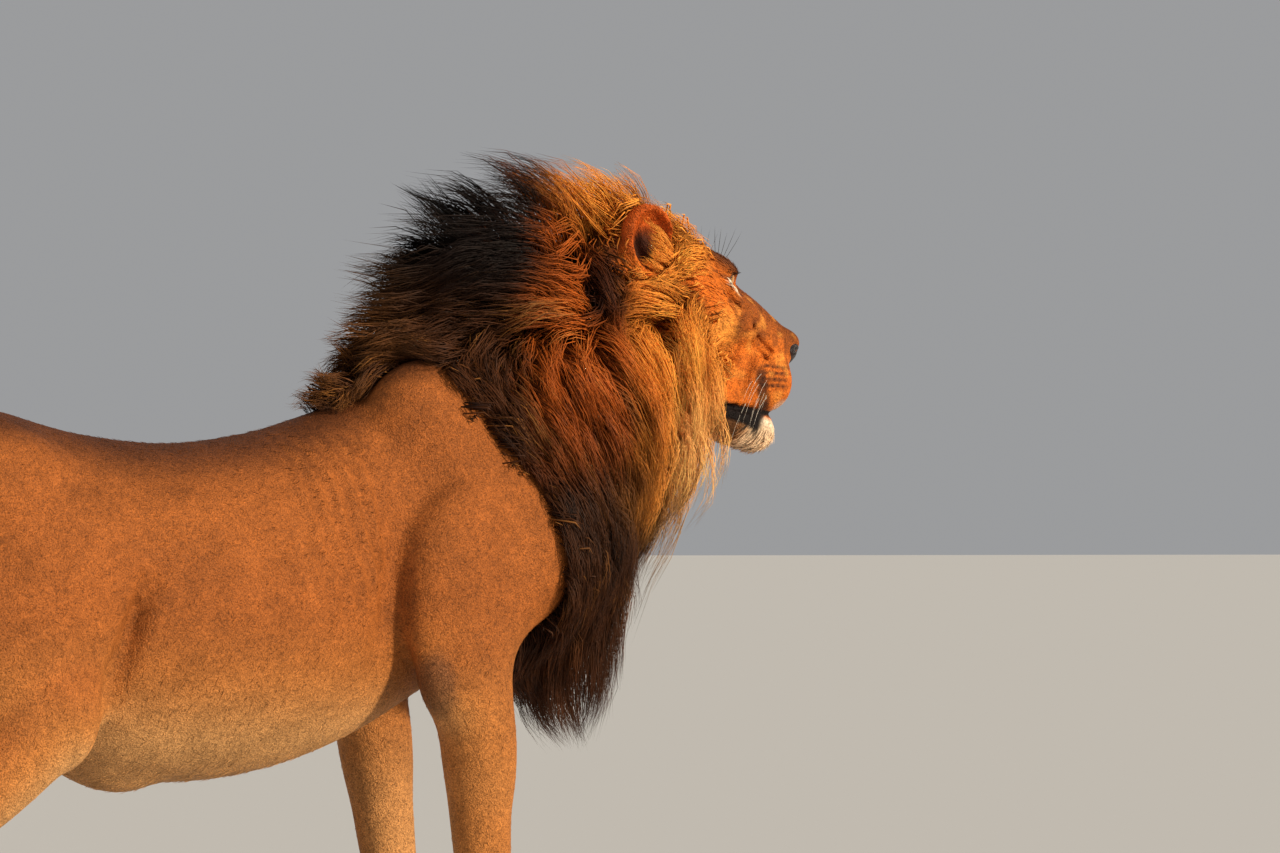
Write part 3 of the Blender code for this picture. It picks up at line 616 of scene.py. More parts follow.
def body_tone(points, out):
    """The coat's markings on the trunk, legs and tail."""
    x, y, z = points.T
    up, inward = out[:, 2], out[:, 1] * np.sign(y)
    layers = [
        (SADDLE, 0.9 * ramp(up, 0.38, 0.92) * ramp(z, 0.85, 1.0)),
        (SAND, 0.85 * ramp(z, 0.76, 0.52) * ramp(up, 0.5, -0.3)),
        (PALE_SAND, 0.75 * ramp(z, 0.66, 0.5) * ramp(up, -0.05, -0.75)),
        (PALE_SAND, 0.55 * ramp(z, 0.6, 0.3) * ramp(inward, 0.2, -0.7)),
        (SAND, 0.45 * ramp(z, 0.45, 0.1)),
        (PAD_LEATHER, ramp(z, 0.016, 0.006)),
    ]
    for name, side in SIDES.items():
        elbow = np.array(mirrored(ELBOW, side)) + (FORE_STEP[name] * 0.5 - 0.06, side * 0.012, 0.0)
        hock = np.array(mirrored(HOCK, side)) + (HIND_STEP[name] - 0.045, 0, -0.01)
        layers.append((CALLUS, 0.6 * patch(points, elbow, (0.04, 0.06, 0.075))))
        layers.append((CALLUS, 0.5 * patch(points, hock, (0.03, 0.05, 0.07))))
    layers.append((SADDLE, 0.5 * ramp(x, -1.12, -1.17) * ramp(z, 0.5, 0.3)))
    tone = painted(np.tile(TAWNY, (len(points), 1)), *layers)
    return mottled(tone, points, (0.14, 0.012, 2), (0.12, 0.035, 3), (0.14, 0.16, 4))


def head_tone(points, out):
    """The face's markings: pale under the eyes, on the lips and chin, black along the mouth, with painted
    shade under the jaw, in the ear hollows and behind the ears.
    """
    local = head_space(points)
    turned = (out @ HEAD_AXES)[:, 1] * np.sign(local[:, 1])
    local[:, 1] = np.abs(local[:, 1])
    x, y, z = local.T

    def near(at, size):
        return patch(local, at, size)

    layers = [
        (BRIDGE, 0.85 * ramp(y, 0.055, 0.02) * ramp(z, -0.11, -0.06) * ramp(x, -0.02, 0.03)),
        (BRIDGE, 0.6 * near((0.048, 0.055, -0.052), (0.075, 0.045, 0.048))),
        (SADDLE, 0.92 * near((-0.012, 0.045, 0.03), (0.05, 0.044, 0.034))),
        (STRAW, 0.7 * near((-0.105, 0.06, 0.02), (0.075, 0.07, 0.075))),
        (SADDLE, 0.5 * near((-0.04, 0.02, 0.05), (0.06, 0.03, 0.05))),
        (STRAW, 0.85 * near((-0.02, 0.075, -0.105), (0.065, 0.05, 0.075))),
        (CREAM, 0.4 * near((0.146, 0.02, -0.185), (0.03, 0.045, 0.02))),
        (CREAM, 0.9 * ramp(z, -0.204, -0.216) * ramp(x, 0.07, 0.1)),
        (PALE_SAND, 0.6 * ramp(z, -0.205, -0.235) * ramp(x, -0.1, 0.0)),
        # painted shade under the jaw, on each side behind the chin
        (DARK_MARK_AND_SHADE, 0.75 * near((0.028, 0.055, -0.245), (0.07, 0.045, 0.034))),
    ]
    lip_pad = ramp(x, 0.084, 0.096) * ramp(x, 0.152, 0.135) * ramp(y, 0.018, 0.026)
    for row in range(4):
        line = z + 0.126 + 0.011 * row - 0.16 * (x - 0.092)
        spots = 0.8 + 0.2 * np.sin(x * 2 * pi / 0.0105 + row)
        layers.append((DARK_MARK_AND_SHADE, 0.9 * ramp(np.abs(line), 0.0046, 0.0014) * lip_pad * spots))
    for down in range(4):
        spot = (0.088 + 0.008 * down, 0.05, -0.146 - 0.018 * down)
        layers.append((DARK_MARK_AND_SHADE, 0.8 * near(spot, (0.014, 0.045, 0.021))))
    lower_lip = ramp(z + 0.1 * x, -0.23, -0.222) * ramp(z, LIP_HEIGHT + 0.004, LIP_HEIGHT - 0.003)
    seam = np.abs(z - LIP_HEIGHT - 0.08 * (x - 0.1))
    off_eye = np.linalg.norm((local - np.array(EYE)) * (0.85, 1.0, 1.45), axis=1)
    pale = ramp(np.abs(z + 0.0085 + 0.5 * (x - 0.006)), 0.005, 0.0025)
    pale = pale * ramp(np.abs(x - 0.008), 0.02, 0.013)
    ear = np.linalg.norm((local - np.array(EAR)) / (0.062, 0.058, 0.078), axis=1)
    on_ear = ramp(ear, 1.15, 1.0) * ramp(z, EAR.z - 0.045, EAR.z - 0.015)
    # painted shade deep in each ear's hollow, where the cup's own shadow falls
    ear_hollow_shade_at = np.array(EAR) + (0.002, -0.006, -0.012)
    # painted shadow on the skin just behind each ear's rear rim
    shadow_behind_ear = near((-0.265, 0.1, 0.01), (0.075, 0.1, 0.12)) * ramp(x, -0.222, -0.234)
    blotches = ramp(cloud(points, 0.012, 61), 0.05, 0.6) * ramp(z, -0.14, -0.1) * ramp(x, -0.05, 0.0)
    light = ramp(cloud(points, 0.017, 62), 0.2, 0.8) * ramp(x, -0.08, -0.02)
    layers += [
        (LIP_BLACK, lower_lip * ramp(x, 0.124, 0.108) * ramp(x, 0.018, 0.036)),
        (LIP_BLACK, ramp(seam, 0.0065, 0.003) * ramp(x, 0.012, 0.04)),
        (LIP_BLACK, near((0.16, 0.0, -0.14), (0.03, 0.005, 0.06))),
        (LIP_BLACK, ramp(off_eye, 0.024, 0.0215)),
        (CREAM, 0.95 * pale * ramp(y, 0.038, 0.046)),
        (DARK_MARK_AND_SHADE, 0.8 * near((0.026, 0.042, -0.016), (0.014, 0.012, 0.005))),
        (DARK_MARK_AND_SHADE, 0.7 * near((-0.04, 0.068, 0.008), (0.02, 0.02, 0.005))),
        (EAR_BACK, 0.92 * on_ear * ramp(turned, 0.05, -0.25)),
        (EAR_INSIDE, 0.8 * on_ear * ramp(turned, 0.0, 0.3)),
        (DARK_MARK_AND_SHADE, 0.95 * near(ear_hollow_shade_at, (0.038, 0.036, 0.05))),
        (DARK_MARK_AND_SHADE, 0.88 * shadow_behind_ear),
        (DARK_MARK_AND_SHADE, 0.4 * blotches * ramp(y, 0.015, 0.035)),
        (STRAW, 0.45 * (light * ramp(z, -0.2, -0.17) * ramp(z, 0.0, -0.02))),
    ]
    tone = painted(np.tile(FOX, (len(points), 1)), *layers)
    return mottled(tone, points, (0.16, 0.006, 7), (0.2, 0.014, 5), (0.14, 0.05, 6))


def head_share(points):
    """1 on the head, 0 on the body, and smooth between them."""
    return ramp(head_space(points)[:, 0], -0.3, -0.22) * ramp(points[:, 2], 0.94, 1.0)


def coat_tone(points, out):
    """The colour of hide and short coat alike, before the mane."""
    return painted(body_tone(points, out), (head_tone(points, out), head_share(points)))


def lay_tone(mesh, tones):
    alpha = np.ones((len(tones), 1))
    store(mesh, "tone", "FLOAT_COLOR", "color", np.hstack([np.clip(tones, 0, 1), alpha]))


class Wire:
    """A socket in a shader's tree. Adding to it or multiplying it adds a Math node."""

    def __init__(self, tree, socket=None):
        self.tree = tree
        self.socket = socket

    def node(self, kind, settings=None, values=None, out=0):
        """Another node: its settings first, then the values or wires of its sockets."""
        made = self.tree.nodes.new(kind)
        for name, value in (settings or {}).items():
            if name == "stops":
                for stop, (place, colour) in zip(made.color_ramp.elements, value):
                    stop.position, stop.color = place, (*colour, 1)
            else:
                setattr(made, name, value)
        for key, value in (values or {}).items():
            if isinstance(value, Wire):
                self.tree.links.new(value.socket, made.inputs[key])
            else:
                made.inputs[key].default_value = value
        return Wire(self.tree, made.outputs[out])

    def math(self, operation, *values):
        return self.node("ShaderNodeMath", {"operation": operation}, dict(enumerate(values)))

    def __add__(self, other):
        return self.math("ADD", self, other)

    def __sub__(self, other):
        return self.math("SUBTRACT", self, other)

    def __rsub__(self, other):
        return self.math("SUBTRACT", other, self)

    def __mul__(self, other):
        return self.math("MULTIPLY", self, other)

    __radd__ = __add__
    __rmul__ = __mul__


def finish(name, roughness, specular=0.5):
    """A new material: the material, its tree's first wire, and the shader node."""
    material = bpy.data.materials.new(name)
    material.use_nodes = True
    shader = material.node_tree.nodes["Principled BSDF"]
    shader.inputs["Roughness"].default_value = roughness
    shader.inputs["Specular IOR Level"].default_value = specular
    return material, Wire(material.node_tree), shader


def link(wire, shader, socket):
    wire.tree.links.new(wire.socket, shader.inputs[socket])


def hair_finish(name, roughness, specular, bump, contrast=0.55):
    """Hair: the point's tone, darker and lighter in fine grain, with a fine nap."""
    material, tree, shader = finish(name, roughness, specular)
    place = tree.node("ShaderNodeTexCoord", out=3)
    tone = tree.node("ShaderNodeAttribute", {"attribute_name": "tone"})
    grain = tree.node("ShaderNodeTexNoise", None, {"Vector": place, "Scale": 420.0, "Detail": 3.0})
    blotch = {"Vector": place, "Scale": 90.0, "Detail": 4.0, "Distortion": 1.2}
    blotch = tree.node("ShaderNodeTexNoise", None, blotch)
    uneven = 0.45 + contrast * 0.25
    shade = grain * contrast + blotch * uneven + (1 - contrast / 2 - uneven / 2)
    shade = shade.math("MAXIMUM", shade, 0.2)
    grey = tree.node("ShaderNodeCombineColor", None, {0: shade, 1: shade, 2: shade})
    multiply = {"data_type": "RGBA", "blend_type": "MULTIPLY"}
    link(tree.node("ShaderNodeMix", multiply, {0: 1.0, 6: tone, 7: grey}, 2), shader, "Base Color")
    nap = grain + blotch * 1.5
    raised = tree.node("ShaderNodeBump", None, {"Strength": bump, "Distance": 0.002, "Height": nap})
    link(raised, shader, "Normal")
    return material


skin_mesh = skin.data
skin_points, skin_out = own_points(skin_mesh), numbers(skin_mesh.vertices, "normal")
lay_tone(skin_mesh, coat_tone(skin_points, skin_out))
skin_mesh.materials.append(hair_finish("hide_and_nap", 0.62, 0.12, 1.0, 2.4))
FLESH_NODES = ("head", "muzzle", "lower_jaw", "thorax", "loin_and_belly", "rump")
SIDED_NODES = ("ear_", "shoulder_", "forearm_", "forepaw_", "thigh_", "shank_", "hindfoot_", "hindpaw_")
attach(skin, "root")
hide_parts(*FLESH_NODES, "tail_base", "tail_middle", "tail_end", "tail_tuft")
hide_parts(*(node + name for node in SIDED_NODES for name in SIDES))
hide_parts("neck_mane", "face_ruff", "chest_mane")


# ======== the mane
# Long coarse hair from the forehead over the neck and shoulder blades and down the chest.
# Locks grow out of the skin through the depth of the mane, then lie along its outside.
MANE_STEP = 0.009
MANE_GUIDES = 2900
LOCK_HAIRS = 16
MANE_STOPS, UNDER_STOPS = 14, 8
RINGS = 4
HAIR_WIDTH = 0.0024
MANE_PIECES = 7
MANE_HALF_WIDTH = 0.225
MANE_LOW, MANE_HIGH = (-0.3, -0.32, 0.42), (0.8, 0.3, 1.6)
UNDER_GUIDES = 800
UNDER_HAIRS = 12
UNDER_RINGS = 2
UNDER_WIDTH = 0.004
PATCH = 0.003

MANE_BLACK = linear(27, 15, 9)
MANE_BROWN = linear(88, 48, 20)
MANE_AUBURN = linear(194, 94, 25)
MANE_GOLD = linear(240, 150, 56)
MANE_STRAW = linear(186, 122, 56)
MANE_PALE = linear(246, 190, 120)

MANE = [
    Egg((0.235, 0, 1.1), (0.215, 0.225, 0.25), (0, -35, 0), 0.08),
    Egg((0.285, 0, 1.33), (0.185, 0.13, 0.145), (0, -12, 0), 0.08),
    Egg((0.415, -0.01, 1.365), (0.13, 0.085, 0.105), (0, 10, 0), 0.06),
    Limb((0.13, 0, 1.26), (-0.12, 0, 1.085), (0.122, 0.038), thin=0.62, melt=0.06),
    Limb((-0.12, 0, 1.065), (-0.22, 0, 1.008), (0.035, 0.016), melt=0.03),
    Egg((0.455, -0.03, 1.11), (0.125, 0.21, 0.205), (0, 14, -14), 0.06),
    Egg((0.52, -0.05, 1.05), (0.11, 0.12, 0.135), (0, 20, -14), 0.06),
    Egg((0.515, -0.06, 0.985), (0.072, 0.105, 0.085), (0, 0, -14), 0.05),
    *both_sides(lambda s: [egg((-0.1, s * 0.062, -0.005), (0.068, 0.045, 0.075), melt=0.04)]),
    Egg((0.27, 0, 0.92), (0.165, 0.185, 0.22), (0, 10, 0), 0.08),
    Egg((0.225, 0, 0.86), (0.15, 0.232, 0.21), (0, 10, 0)),
    Limb((0.32, 0, 0.84), (0.35, 0, 0.6), (0.112, 0.074), thin=1.3, melt=0.06),
    Limb((0.36, 0, 0.62), (0.385, 0, 0.525), (0.058, 0.024), thin=1.2),
]


def half_room(s):
    """The room outside an ear's opening and beside the mouth, which hair grows round."""
    return [
        egg(by(mirrored(EAR, s), -0.006, 0.004, s * 0.045), (0.068, 0.056, 0.077)),
        egg((0.085, s * 0.06, -0.17), (0.09, 0.07, 0.12)),
    ]


class Depths:
    """A field on an even grid, which gives the distance and its slope at any points."""

    def __init__(self, lumps, low=MANE_LOW, high=MANE_HIGH, step=MANE_STEP):
        self.low, self.step = np.array(low), step
        self.values = melted(lumps, [], [np.arange(a, b, step) for a, b in zip(low, high)])

    def at(self, points):
        place = (points - self.low) / self.step
        place = np.clip(place, 0, np.array(self.values.shape) - 1.001)
        base = place.astype(int)
        return between(self.values, base, place - base)

    def slope(self, points):
        sides = np.eye(3) * self.step
        return unit(np.stack([self.at(points + s) - self.at(points - s) for s in sides], -1))


hull = Depths(FLESH + SKULL + MANE)
body = Depths(FLESH + SKULL + EARS)
clearing = Depths(both_sides(half_room))


def mane_lie(points, out):
    """Which way the mane's hair runs along its outside."""
    x, y, z = np.moveaxis(points, -1, 0)
    ahead, _, above = np.moveaxis(head_space(points), -1, 0)
    cheek = ramp(ahead, -0.22, -0.12) * ramp(out[..., 2], 0.75, 0.35)
    crest = ramp(out[..., 2], 0.25, 0.75) * ramp(z, 0.98, 1.1) * (1 - cheek)
    high = ramp(z, 1.1, 1.24) * ramp(x, 0.36, 0.22) * (1 - crest) * (1 - cheek)
    rest = np.clip(1 - crest - high - cheek, 0.05, 1)
    lean = ramp(z, 0.75, 1.05)
    down = np.stack([0.08 + 0.45 * lean, 0 * x, -1 + 0.08 * lean], -1)
    upper = 0.85 * ramp(above, -0.2, 0.03) * ramp(ahead, -0.24, -0.12)
    forward = 0.12 - 0.25 * ramp(ahead, -0.12, -0.02)
    fore = np.stack([forward - 1.0 * upper, 0.05 * np.sign(y), 1.05 * upper - 1], -1)
    ways, shares = ((-0.74, 0, 0.52), (-0.85, 0, -0.22), fore, down), (crest, high, cheek, rest)
    return unit(sum(np.array(way) * share[..., None] for way, share in zip(ways, shares)))


def wild(points):
    """How far the hair stands loose and ruffled: on the crest and the upper neck."""
    return ramp(points[..., 2], 1.08, 1.25) * ramp(points[..., 0], 0.36, 0.24)


def triangles(mesh):
    """The mesh's triangles, as rows of point numbers, and their areas."""
    mesh.calc_loop_triangles()
    corners = np.empty(len(mesh.loop_triangles) * 3, np.int32)
    mesh.loop_triangles.foreach_get("vertices", corners)
    return corners.reshape(-1, 3), numbers(mesh.loop_triangles, "area", 1)[:, 0]


def sown(mesh, count, weigh, seed):
    """Random places on a mesh, denser where weigh says, with the skin's normal at each."""
    random = np.random.default_rng(seed)
    corners, area = triangles(mesh)
    points = own_points(mesh)
    out = numbers(mesh.vertices, "normal")
    a, b, c = points[corners].transpose(1, 0, 2)
    weight = area * weigh((a + b + c) / 3, unit(out[corners].sum(1)))
    chosen = random.choice(len(corners), count, p=weight / weight.sum())
    u, v = random.random((2, count, 1))
    u, v = np.where(u + v > 1, 1 - u, u), np.where(u + v > 1, 1 - v, v)
    a, b, c = points[corners[chosen]].transpose(1, 0, 2)
    return a + (b - a) * u + (c - a) * v, unit(out[corners[chosen]].sum(1))


DEEPEST = 0.26
DEPTH_STEP = 0.01


def depth_along(hull, points, out):
    """How far it is from each point, along its own way out, to the hull's surface."""
    stops = np.arange(0.0, DEEPEST, DEPTH_STEP)
    beyond = hull.at(points[:, None] + out[:, None] * stops[:, None]) > 0
    return stops[np.where(beyond.any(1), beyond.argmax(1), len(stops) - 1)]


def grown(roots, out, lengths, targets, fields, lie, steps, random):
    """Paths that leave the skin, come up to their own depth under the hull, and lie along it."""
    hull, body, clearing = fields
    path, heading = [roots], unit(out + 0.4 * lie(roots, out))
    waves = random.uniform(-1, 1, (len(roots), 3))
    for step in range(steps):
        at = path[-1]
        over_by = -hull.at(at) - targets
        climb = ramp(over_by, 0.01, 0.06)[:, None]
        away = unit(hull.slope(at) + out * climb * 1.8)
        way = lie(at, away)
        loose = wild(at)[:, None]
        way = unit(way - away * (way * away).sum(-1, keepdims=True) * (0.7 - 0.2 * loose))
        level = np.clip(over_by / 0.03, -1.0, 1.0)[:, None] * 0.4
        bend = np.stack([cloud(at, 0.09, 20 + a) for a in range(3)], -1)
        curl = np.stack([cloud(at, 0.035, 50 + a) for a in range(3)], -1) * loose
        aim = way * (1 - 0.72 * climb) + away * (level + 0.9 * climb)
        heading = unit(heading * 0.6 + aim * 0.55 + bend * 0.08 + curl * 0.16 + waves * 0.06)
        at = at + heading * (lengths / steps)[:, None]
        near = np.clip(0.007 - body.at(at), 0, 0.05)[:, None]
        at = at + body.slope(at) * near
        near = np.clip(-clearing.at(at), 0, 0.02)[:, None]
        path.append(at + clearing.slope(at) * near)
    return np.stack(path, 1)


def locked(paths, count, spread, clump, random):
    """Hairs round each guide: they start apart, draw together towards the tip, and wave."""
    guides, stops, _ = paths.shape
    spread, clump = np.broadcast_to(spread, guides), np.broadcast_to(clump, guides)
    along = unit(np.gradient(paths, axis=1))
    aside = unit(np.cross(along, (0.13, 0.21, 0.97)))
    third = np.cross(along, aside)
    angle = random.uniform(0, 2 * pi, (guides, count))
    radius = spread[:, None] * np.sqrt(random.uniform(0, 1, (guides, count)))
    t = np.linspace(0, 1, stops)
    draw = 1 - clump[:, None, None] * t**0.8
    turns, start = random.uniform(4, 9, (2, guides, count, 1)), random.uniform(0, 6, (2, guides, count, 1))
    swing = 0.006 * np.sin(t * turns + start)
    off = [
        (wave(angle) * radius)[..., None] * draw + sway * t for wave, sway in zip((np.cos, np.sin), swing)
    ]
    hairs = paths[:, None] + off[0][..., None] * aside[:, None] + off[1][..., None] * third[:, None]
    return hairs.reshape(-1, stops, 3)


def cut(paths, shortest, rings, random):
    """Each path cut to a share of its length by chance, with this many stops and a tip."""
    share = random.uniform(shortest, 1.0, len(paths))
    stops = paths.shape[1] - 1
    place = np.linspace(0, 1, rings + 1) * share[:, None] * stops
    base = np.minimum(place.astype(int), stops - 1)
    t = (place - base)[..., None]
    row = np.arange(len(paths))[:, None]
    return paths[row, base] * (1 - t) + paths[row, base + 1] * t


def on_map(across, along):
    """Places on the bake map, from 0 to 1 both ways, with room for a patch at the edges."""
    return np.clip(np.stack([across, along], 1), 0, 1) * (1 - 2 * PATCH) + PATCH


def around(points, low, high, centre):
    """Where points are on a skin rolled out: round an axis through the centre, and along it."""
    turn = np.arctan2(points[:, 1] - centre[1], points[:, 2] - centre[2]) / (2 * pi) + 0.5
    return on_map(turn, (points[:, 0] - low) / (high - low))


def patched(mesh, middles, across, along):
    """Gives the mesh its bake map: each tuft's corners on one small patch round its middle."""
    within = np.stack([across, along], 1) * PATCH
    places = (middles[:, None] + within - PATCH / 2).reshape(-1, 2)
    corner = np.empty(len(mesh.loops), np.int32)
    mesh.loops.foreach_get("vertex_index", corner)
    layer = mesh.uv_layers.new(name="OFBake")
    layer.data.foreach_set("uv", places[corner].astype(np.float32).ravel())


def strands(name, paths, width, flat_to, tones, middles, material, roundness=0.45):
    """Tapered three-sided hairs, closed at both ends, as one piece with its bake patches."""
    count, stops, _ = paths.shape
    rings = stops - 1
    along = unit(np.gradient(paths, axis=1))
    aside = unit(np.cross(along, flat_to))
    over_it = np.cross(aside, along)
    t = np.linspace(0, 1, stops)[:-1]
    taper = np.interp(t, (0, 0.2, 0.6, 1), (0.75, 1.0, 0.85, 0.15))[None, :, None]
    swell = taper * np.broadcast_to(width, count)[:, None, None] / 2
    corners = []
    for turn in (pi / 2, pi * 7 / 6, pi * 11 / 6):
        off = aside[:, :-1] * cos(turn) + over_it[:, :-1] * sin(turn) * roundness
        corners.append(paths[:, :-1] + off * swell)
    shaft = np.stack(corners, 2).reshape(count, rings * 3, 3)
    points = np.concatenate([shaft, paths[:, -1:]], 1).reshape(-1, 3)
    faces = [(0, 2, 1)]
    for low in range(0, rings * 3, 3):
        for a, b in ((0, 1), (1, 2), (2, 0)):
            if low < rings * 3 - 3:
                faces += [(low + a, low + b, low + 3 + b), (low + a, low + 3 + b, low + 3 + a)]
            else:
                faces.append((low + a, low + b, rings * 3))
    each = rings * 3 + 1
    faces = (np.array(faces)[None, :, ::-1] + np.arange(count)[:, None, None] * each).reshape(-1, 3)
    piece = piece_of(name, points, faces)
    ring_tones = np.repeat(tones[:, :-1], 3, axis=1)
    lay_tone(piece.data, np.concatenate([ring_tones, tones[:, -1:]], 1).reshape(-1, 3))
    across = np.append(np.tile((0.0, 0.5, 1.0), rings), 0.5)
    patched(piece.data, middles, across, np.append(np.repeat(t, 3), 1.0))
    piece.data.materials.append(material)
    return piece


def mane_tone(points, t, chance):
    """Black-brown on the crest and shoulders, auburn behind the ears, gold round the face, with a painted
    shadow band behind the ears and painted shade on the mane's lower side.
    """
    x, y, z = np.moveaxis(points, -1, 0)
    behind = -head_space(points)[..., 0]
    drift = cloud(points.reshape(-1, 3), 0.07, 31).reshape(x.shape) + chance * 0.8
    floor_of_gold = z + 0.4 * (0.45 - x) * (x > 0.45)
    front = x + 0.35 * np.abs(y)
    top = 0.13 * ramp(z, 1.32, 1.42)
    narrow = 0.55 * np.clip(1.16 - z, 0, 0.13) * ramp(front, 0.53, 0.49)
    gold = ramp(behind + 0.05 * drift - top + narrow, 0.27, 0.17)
    gold = gold * ramp(floor_of_gold + 0.03 * drift, 0.84, 0.92)
    auburn = ramp(behind + 0.07 * drift, 0.43, 0.33) * ramp(z, 0.9, 1.04)
    pale = ramp(front, 0.47, 0.54) * ramp(z, 1.14, 1.00)
    edge = ramp(x, 0.02, -0.12) * 0.22 * ramp(t, 0.3, 0.9)
    edge = np.maximum(edge, 0.55 * ramp(chance, 0.25, 0.9) * ramp(z, 1.32, 1.18) * ramp(z, 0.62, 0.85))
    tone = painted(
        MANE_BLACK,
        (MANE_BROWN, ramp(z + 0.05 * drift, 1.34, 1.14)),
        (MANE_AUBURN, auburn * 0.9),
        (MANE_GOLD, gold),
        (MANE_PALE, 0.6 * pale),
        (MANE_STRAW, edge),
    )
    shadow = ramp(np.abs(behind - 0.262), 0.055, 0.025) * ramp(z, 1.17, 1.24) * ramp(z, 1.37, 1.31)
    shade = (0.5 + 0.66 * t) * (1 + 0.5 * chance) * (1 - 0.88 * shadow) * (1 + 0.3 * gold)
    shade = shade * (1 - 0.4 * ramp(chance, -0.3, -0.85))
    # painted shade: the mane darker low down, below the head and behind its pale front edge
    shade = shade * (1 - 0.35 * ramp(z, 1.12, 1.00) * ramp(front, 0.5, 0.46))
    return tone * shade[..., None]


def mane_growth(points, out):
    """How thickly the mane grows: nothing on the face, the ears and the short coat."""
    depth = body.at(points) - hull.at(points)
    local = head_space(points)
    inside = (points > np.array(MANE_LOW) + 0.02).all(1) & (points < np.array(MANE_HIGH) - 0.02).all(1)
    face = ramp(local[:, 0], -0.005, 0.02) * ramp(local[:, 2], -0.06, -0.1)
    some = ramp(depth, 0.006, 0.02) * (off_ears(local) > 0.05) * inside * (1 - face)
    cheeks = patch(np.abs(local) * (-1, 1, -1), (-0.1, 0.09, -0.1), (0.08, 0.07, 0.08))
    return some * (1 + 0.9 * wild(points) + 1.2 * cheeks) / (depth + 0.06)


def clear_of_ears(paths):
    """Which hairs stay out of the room outside each ear, so that its rim shows."""
    local = head_space(paths)
    room = np.array((0.074, 0.066, 0.08))
    blocked = np.zeros(len(paths), bool)
    for side in SIDES.values():
        middle = np.array(mirrored(EAR, side)) + (-0.036, side * 0.052, 0.002)
        blocked |= ((((local - middle) / room) ** 2).sum(-1) < 1).any(1)
    return ~blocked


def turned_about(ways, random):
    """The ways that hairs lie flat to, each turned a little by chance."""
    return unit(ways + random.uniform(-0.5, 0.5, (len(ways), 1, 3)))


def stops_of(hairs, first=0.0, last=1.0):
    """How far along its hair each point is."""
    return np.broadcast_to(np.linspace(first, last, hairs.shape[1]), hairs.shape[:2])


random = np.random.default_rng(7)
fields = (hull, body, clearing)
roots, root_out = sown(skin_mesh, MANE_GUIDES, mane_growth, 8)
x, _, z = roots.T
thickness = depth_along(hull, roots, root_out)
lengths = 1.0 * thickness + np.clip(0.035 + 0.9 * thickness, 0.04, 0.14)
lengths *= np.interp(x, (-0.18, 0.02, 0.24), (0.55, 0.72, 1.0))
lengths *= random.uniform(0.85, 1.15, MANE_GUIDES) * (1 + 0.3 * ramp(z, 1.0, 0.85))
lengths = np.minimum(lengths, np.clip(z - 0.46, 0.06, 1))
lengths *= 1 - 0.28 * ramp(z, 1.32, 1.38) * ramp(x, 0.2, 0.3)
near_face = ramp(head_space(roots)[:, 0], -0.34, -0.2)
targets = thickness * 0.6 * random.uniform(0, 1, MANE_GUIDES) ** 1.5
targets += 0.024 * ramp(x, 0.42, 0.5) * ramp(z, 1.22, 1.12)
ruffled = wild(roots)
stray = random.random(MANE_GUIDES) < 0.06 + 0.16 * ruffled
targets[stray] = -0.012
guides = grown(roots, root_out, lengths, targets, fields, mane_lie, MANE_STOPS, random)
hairs = locked(guides, LOCK_HAIRS, 0.018 + 0.008 * ruffled, 0.6 - 0.3 * ruffled, random)
hairs = cut(hairs, 0.72, RINGS, random)
fineness = np.clip(lengths / 0.11, 0.4, 1) * (1 - 0.32 * near_face)
widths = HAIR_WIDTH * random.uniform(0.7, 1.15, len(hairs)) * np.repeat(fineness, LOCK_HAIRS)
chance = np.repeat(random.uniform(-0.35, 0.35, len(guides)) + 0.7 * cloud(roots, 0.028, 33), LOCK_HAIRS)
chance = np.clip(chance + random.uniform(-0.35, 0.35, len(hairs)), -1, 1)
out_by = np.abs(hairs[..., 1]) - MANE_HALF_WIDTH
hairs[..., 1] -= np.sign(hairs[..., 1]) * np.maximum(out_by, 0) * 0.7
free = clear_of_ears(hairs)
hairs, widths, chance = hairs[free], widths[free], chance[free]
tones = mane_tone(hairs, stops_of(hairs), np.repeat(chance[:, None], RINGS + 1, 1))
facing = turned_about(hull.slope(hairs), random)
mane_finish = hair_finish("mane_hair", 0.55, 0.18, 0.2)

# under-fur: shorter, looser hair that fills the mane next to the hide
roots, root_out = sown(skin_mesh, UNDER_GUIDES, mane_growth, 9)
thickness = depth_along(hull, roots, root_out)
lengths = np.clip(0.6 * thickness, 0.03, 0.08)
guides = grown(roots, root_out, lengths, thickness * 0.5, fields, mane_lie, UNDER_STOPS, random)
under = locked(guides, UNDER_HAIRS, 0.03, 0.15, random)
under = cut(under, 0.7, UNDER_RINGS, random)
chance = np.repeat(random.uniform(-1, 1, (len(under), 1)), UNDER_RINGS + 1, 1)
under_fur = strands(
    "mane_under_fur",
    under,
    UNDER_WIDTH,
    turned_about(hull.slope(under), random),
    mane_tone(under, stops_of(under, 0.2, 0.6), chance),
    around(under[:, 0], -0.3, 0.7, (0, 0, 1.0)),
    mane_finish,
)
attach(under_fur, "root")

order = np.argsort(hairs[:, 0, 0] + 0.55 * hairs[:, 0, 2], kind="stable")
for number, chosen in enumerate(np.array_split(order, MANE_PIECES)):
    lock, name = hairs[chosen], f"mane_{number + 1}"
    root = lock[:, 0]
    rolled = around(root, root[:, 0].min(), root[:, 0].max(), (0, 0, root[:, 2].mean()))
    locks = strands(name, lock, widths[chosen], facing[chosen], tones[chosen], rolled, mane_finish)
    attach(locks, "root")
    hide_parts("neck_mane", "face_ruff", "chest_mane")


# ======== the short coat
# Flat hair a few millimetres to two centimetres long, in thin tufts that lie along the body.
# Geometry Nodes sow one small tuft over the skin, turned to the lie of the coat at each root.
COATS = {
    "coat_head": {"tufts": 14000, "length": 0.0085, "width": 0.13, "seed": 11},
    "coat_fore": {"tufts": 6000, "length": 0.0125, "width": 0.12, "seed": 12},
    "coat_trunk": {"tufts": 6000, "length": 0.014, "width": 0.12, "seed": 13},
    "coat_hind": {"tufts": 6000, "length": 0.0125, "width": 0.12, "seed": 14},
}


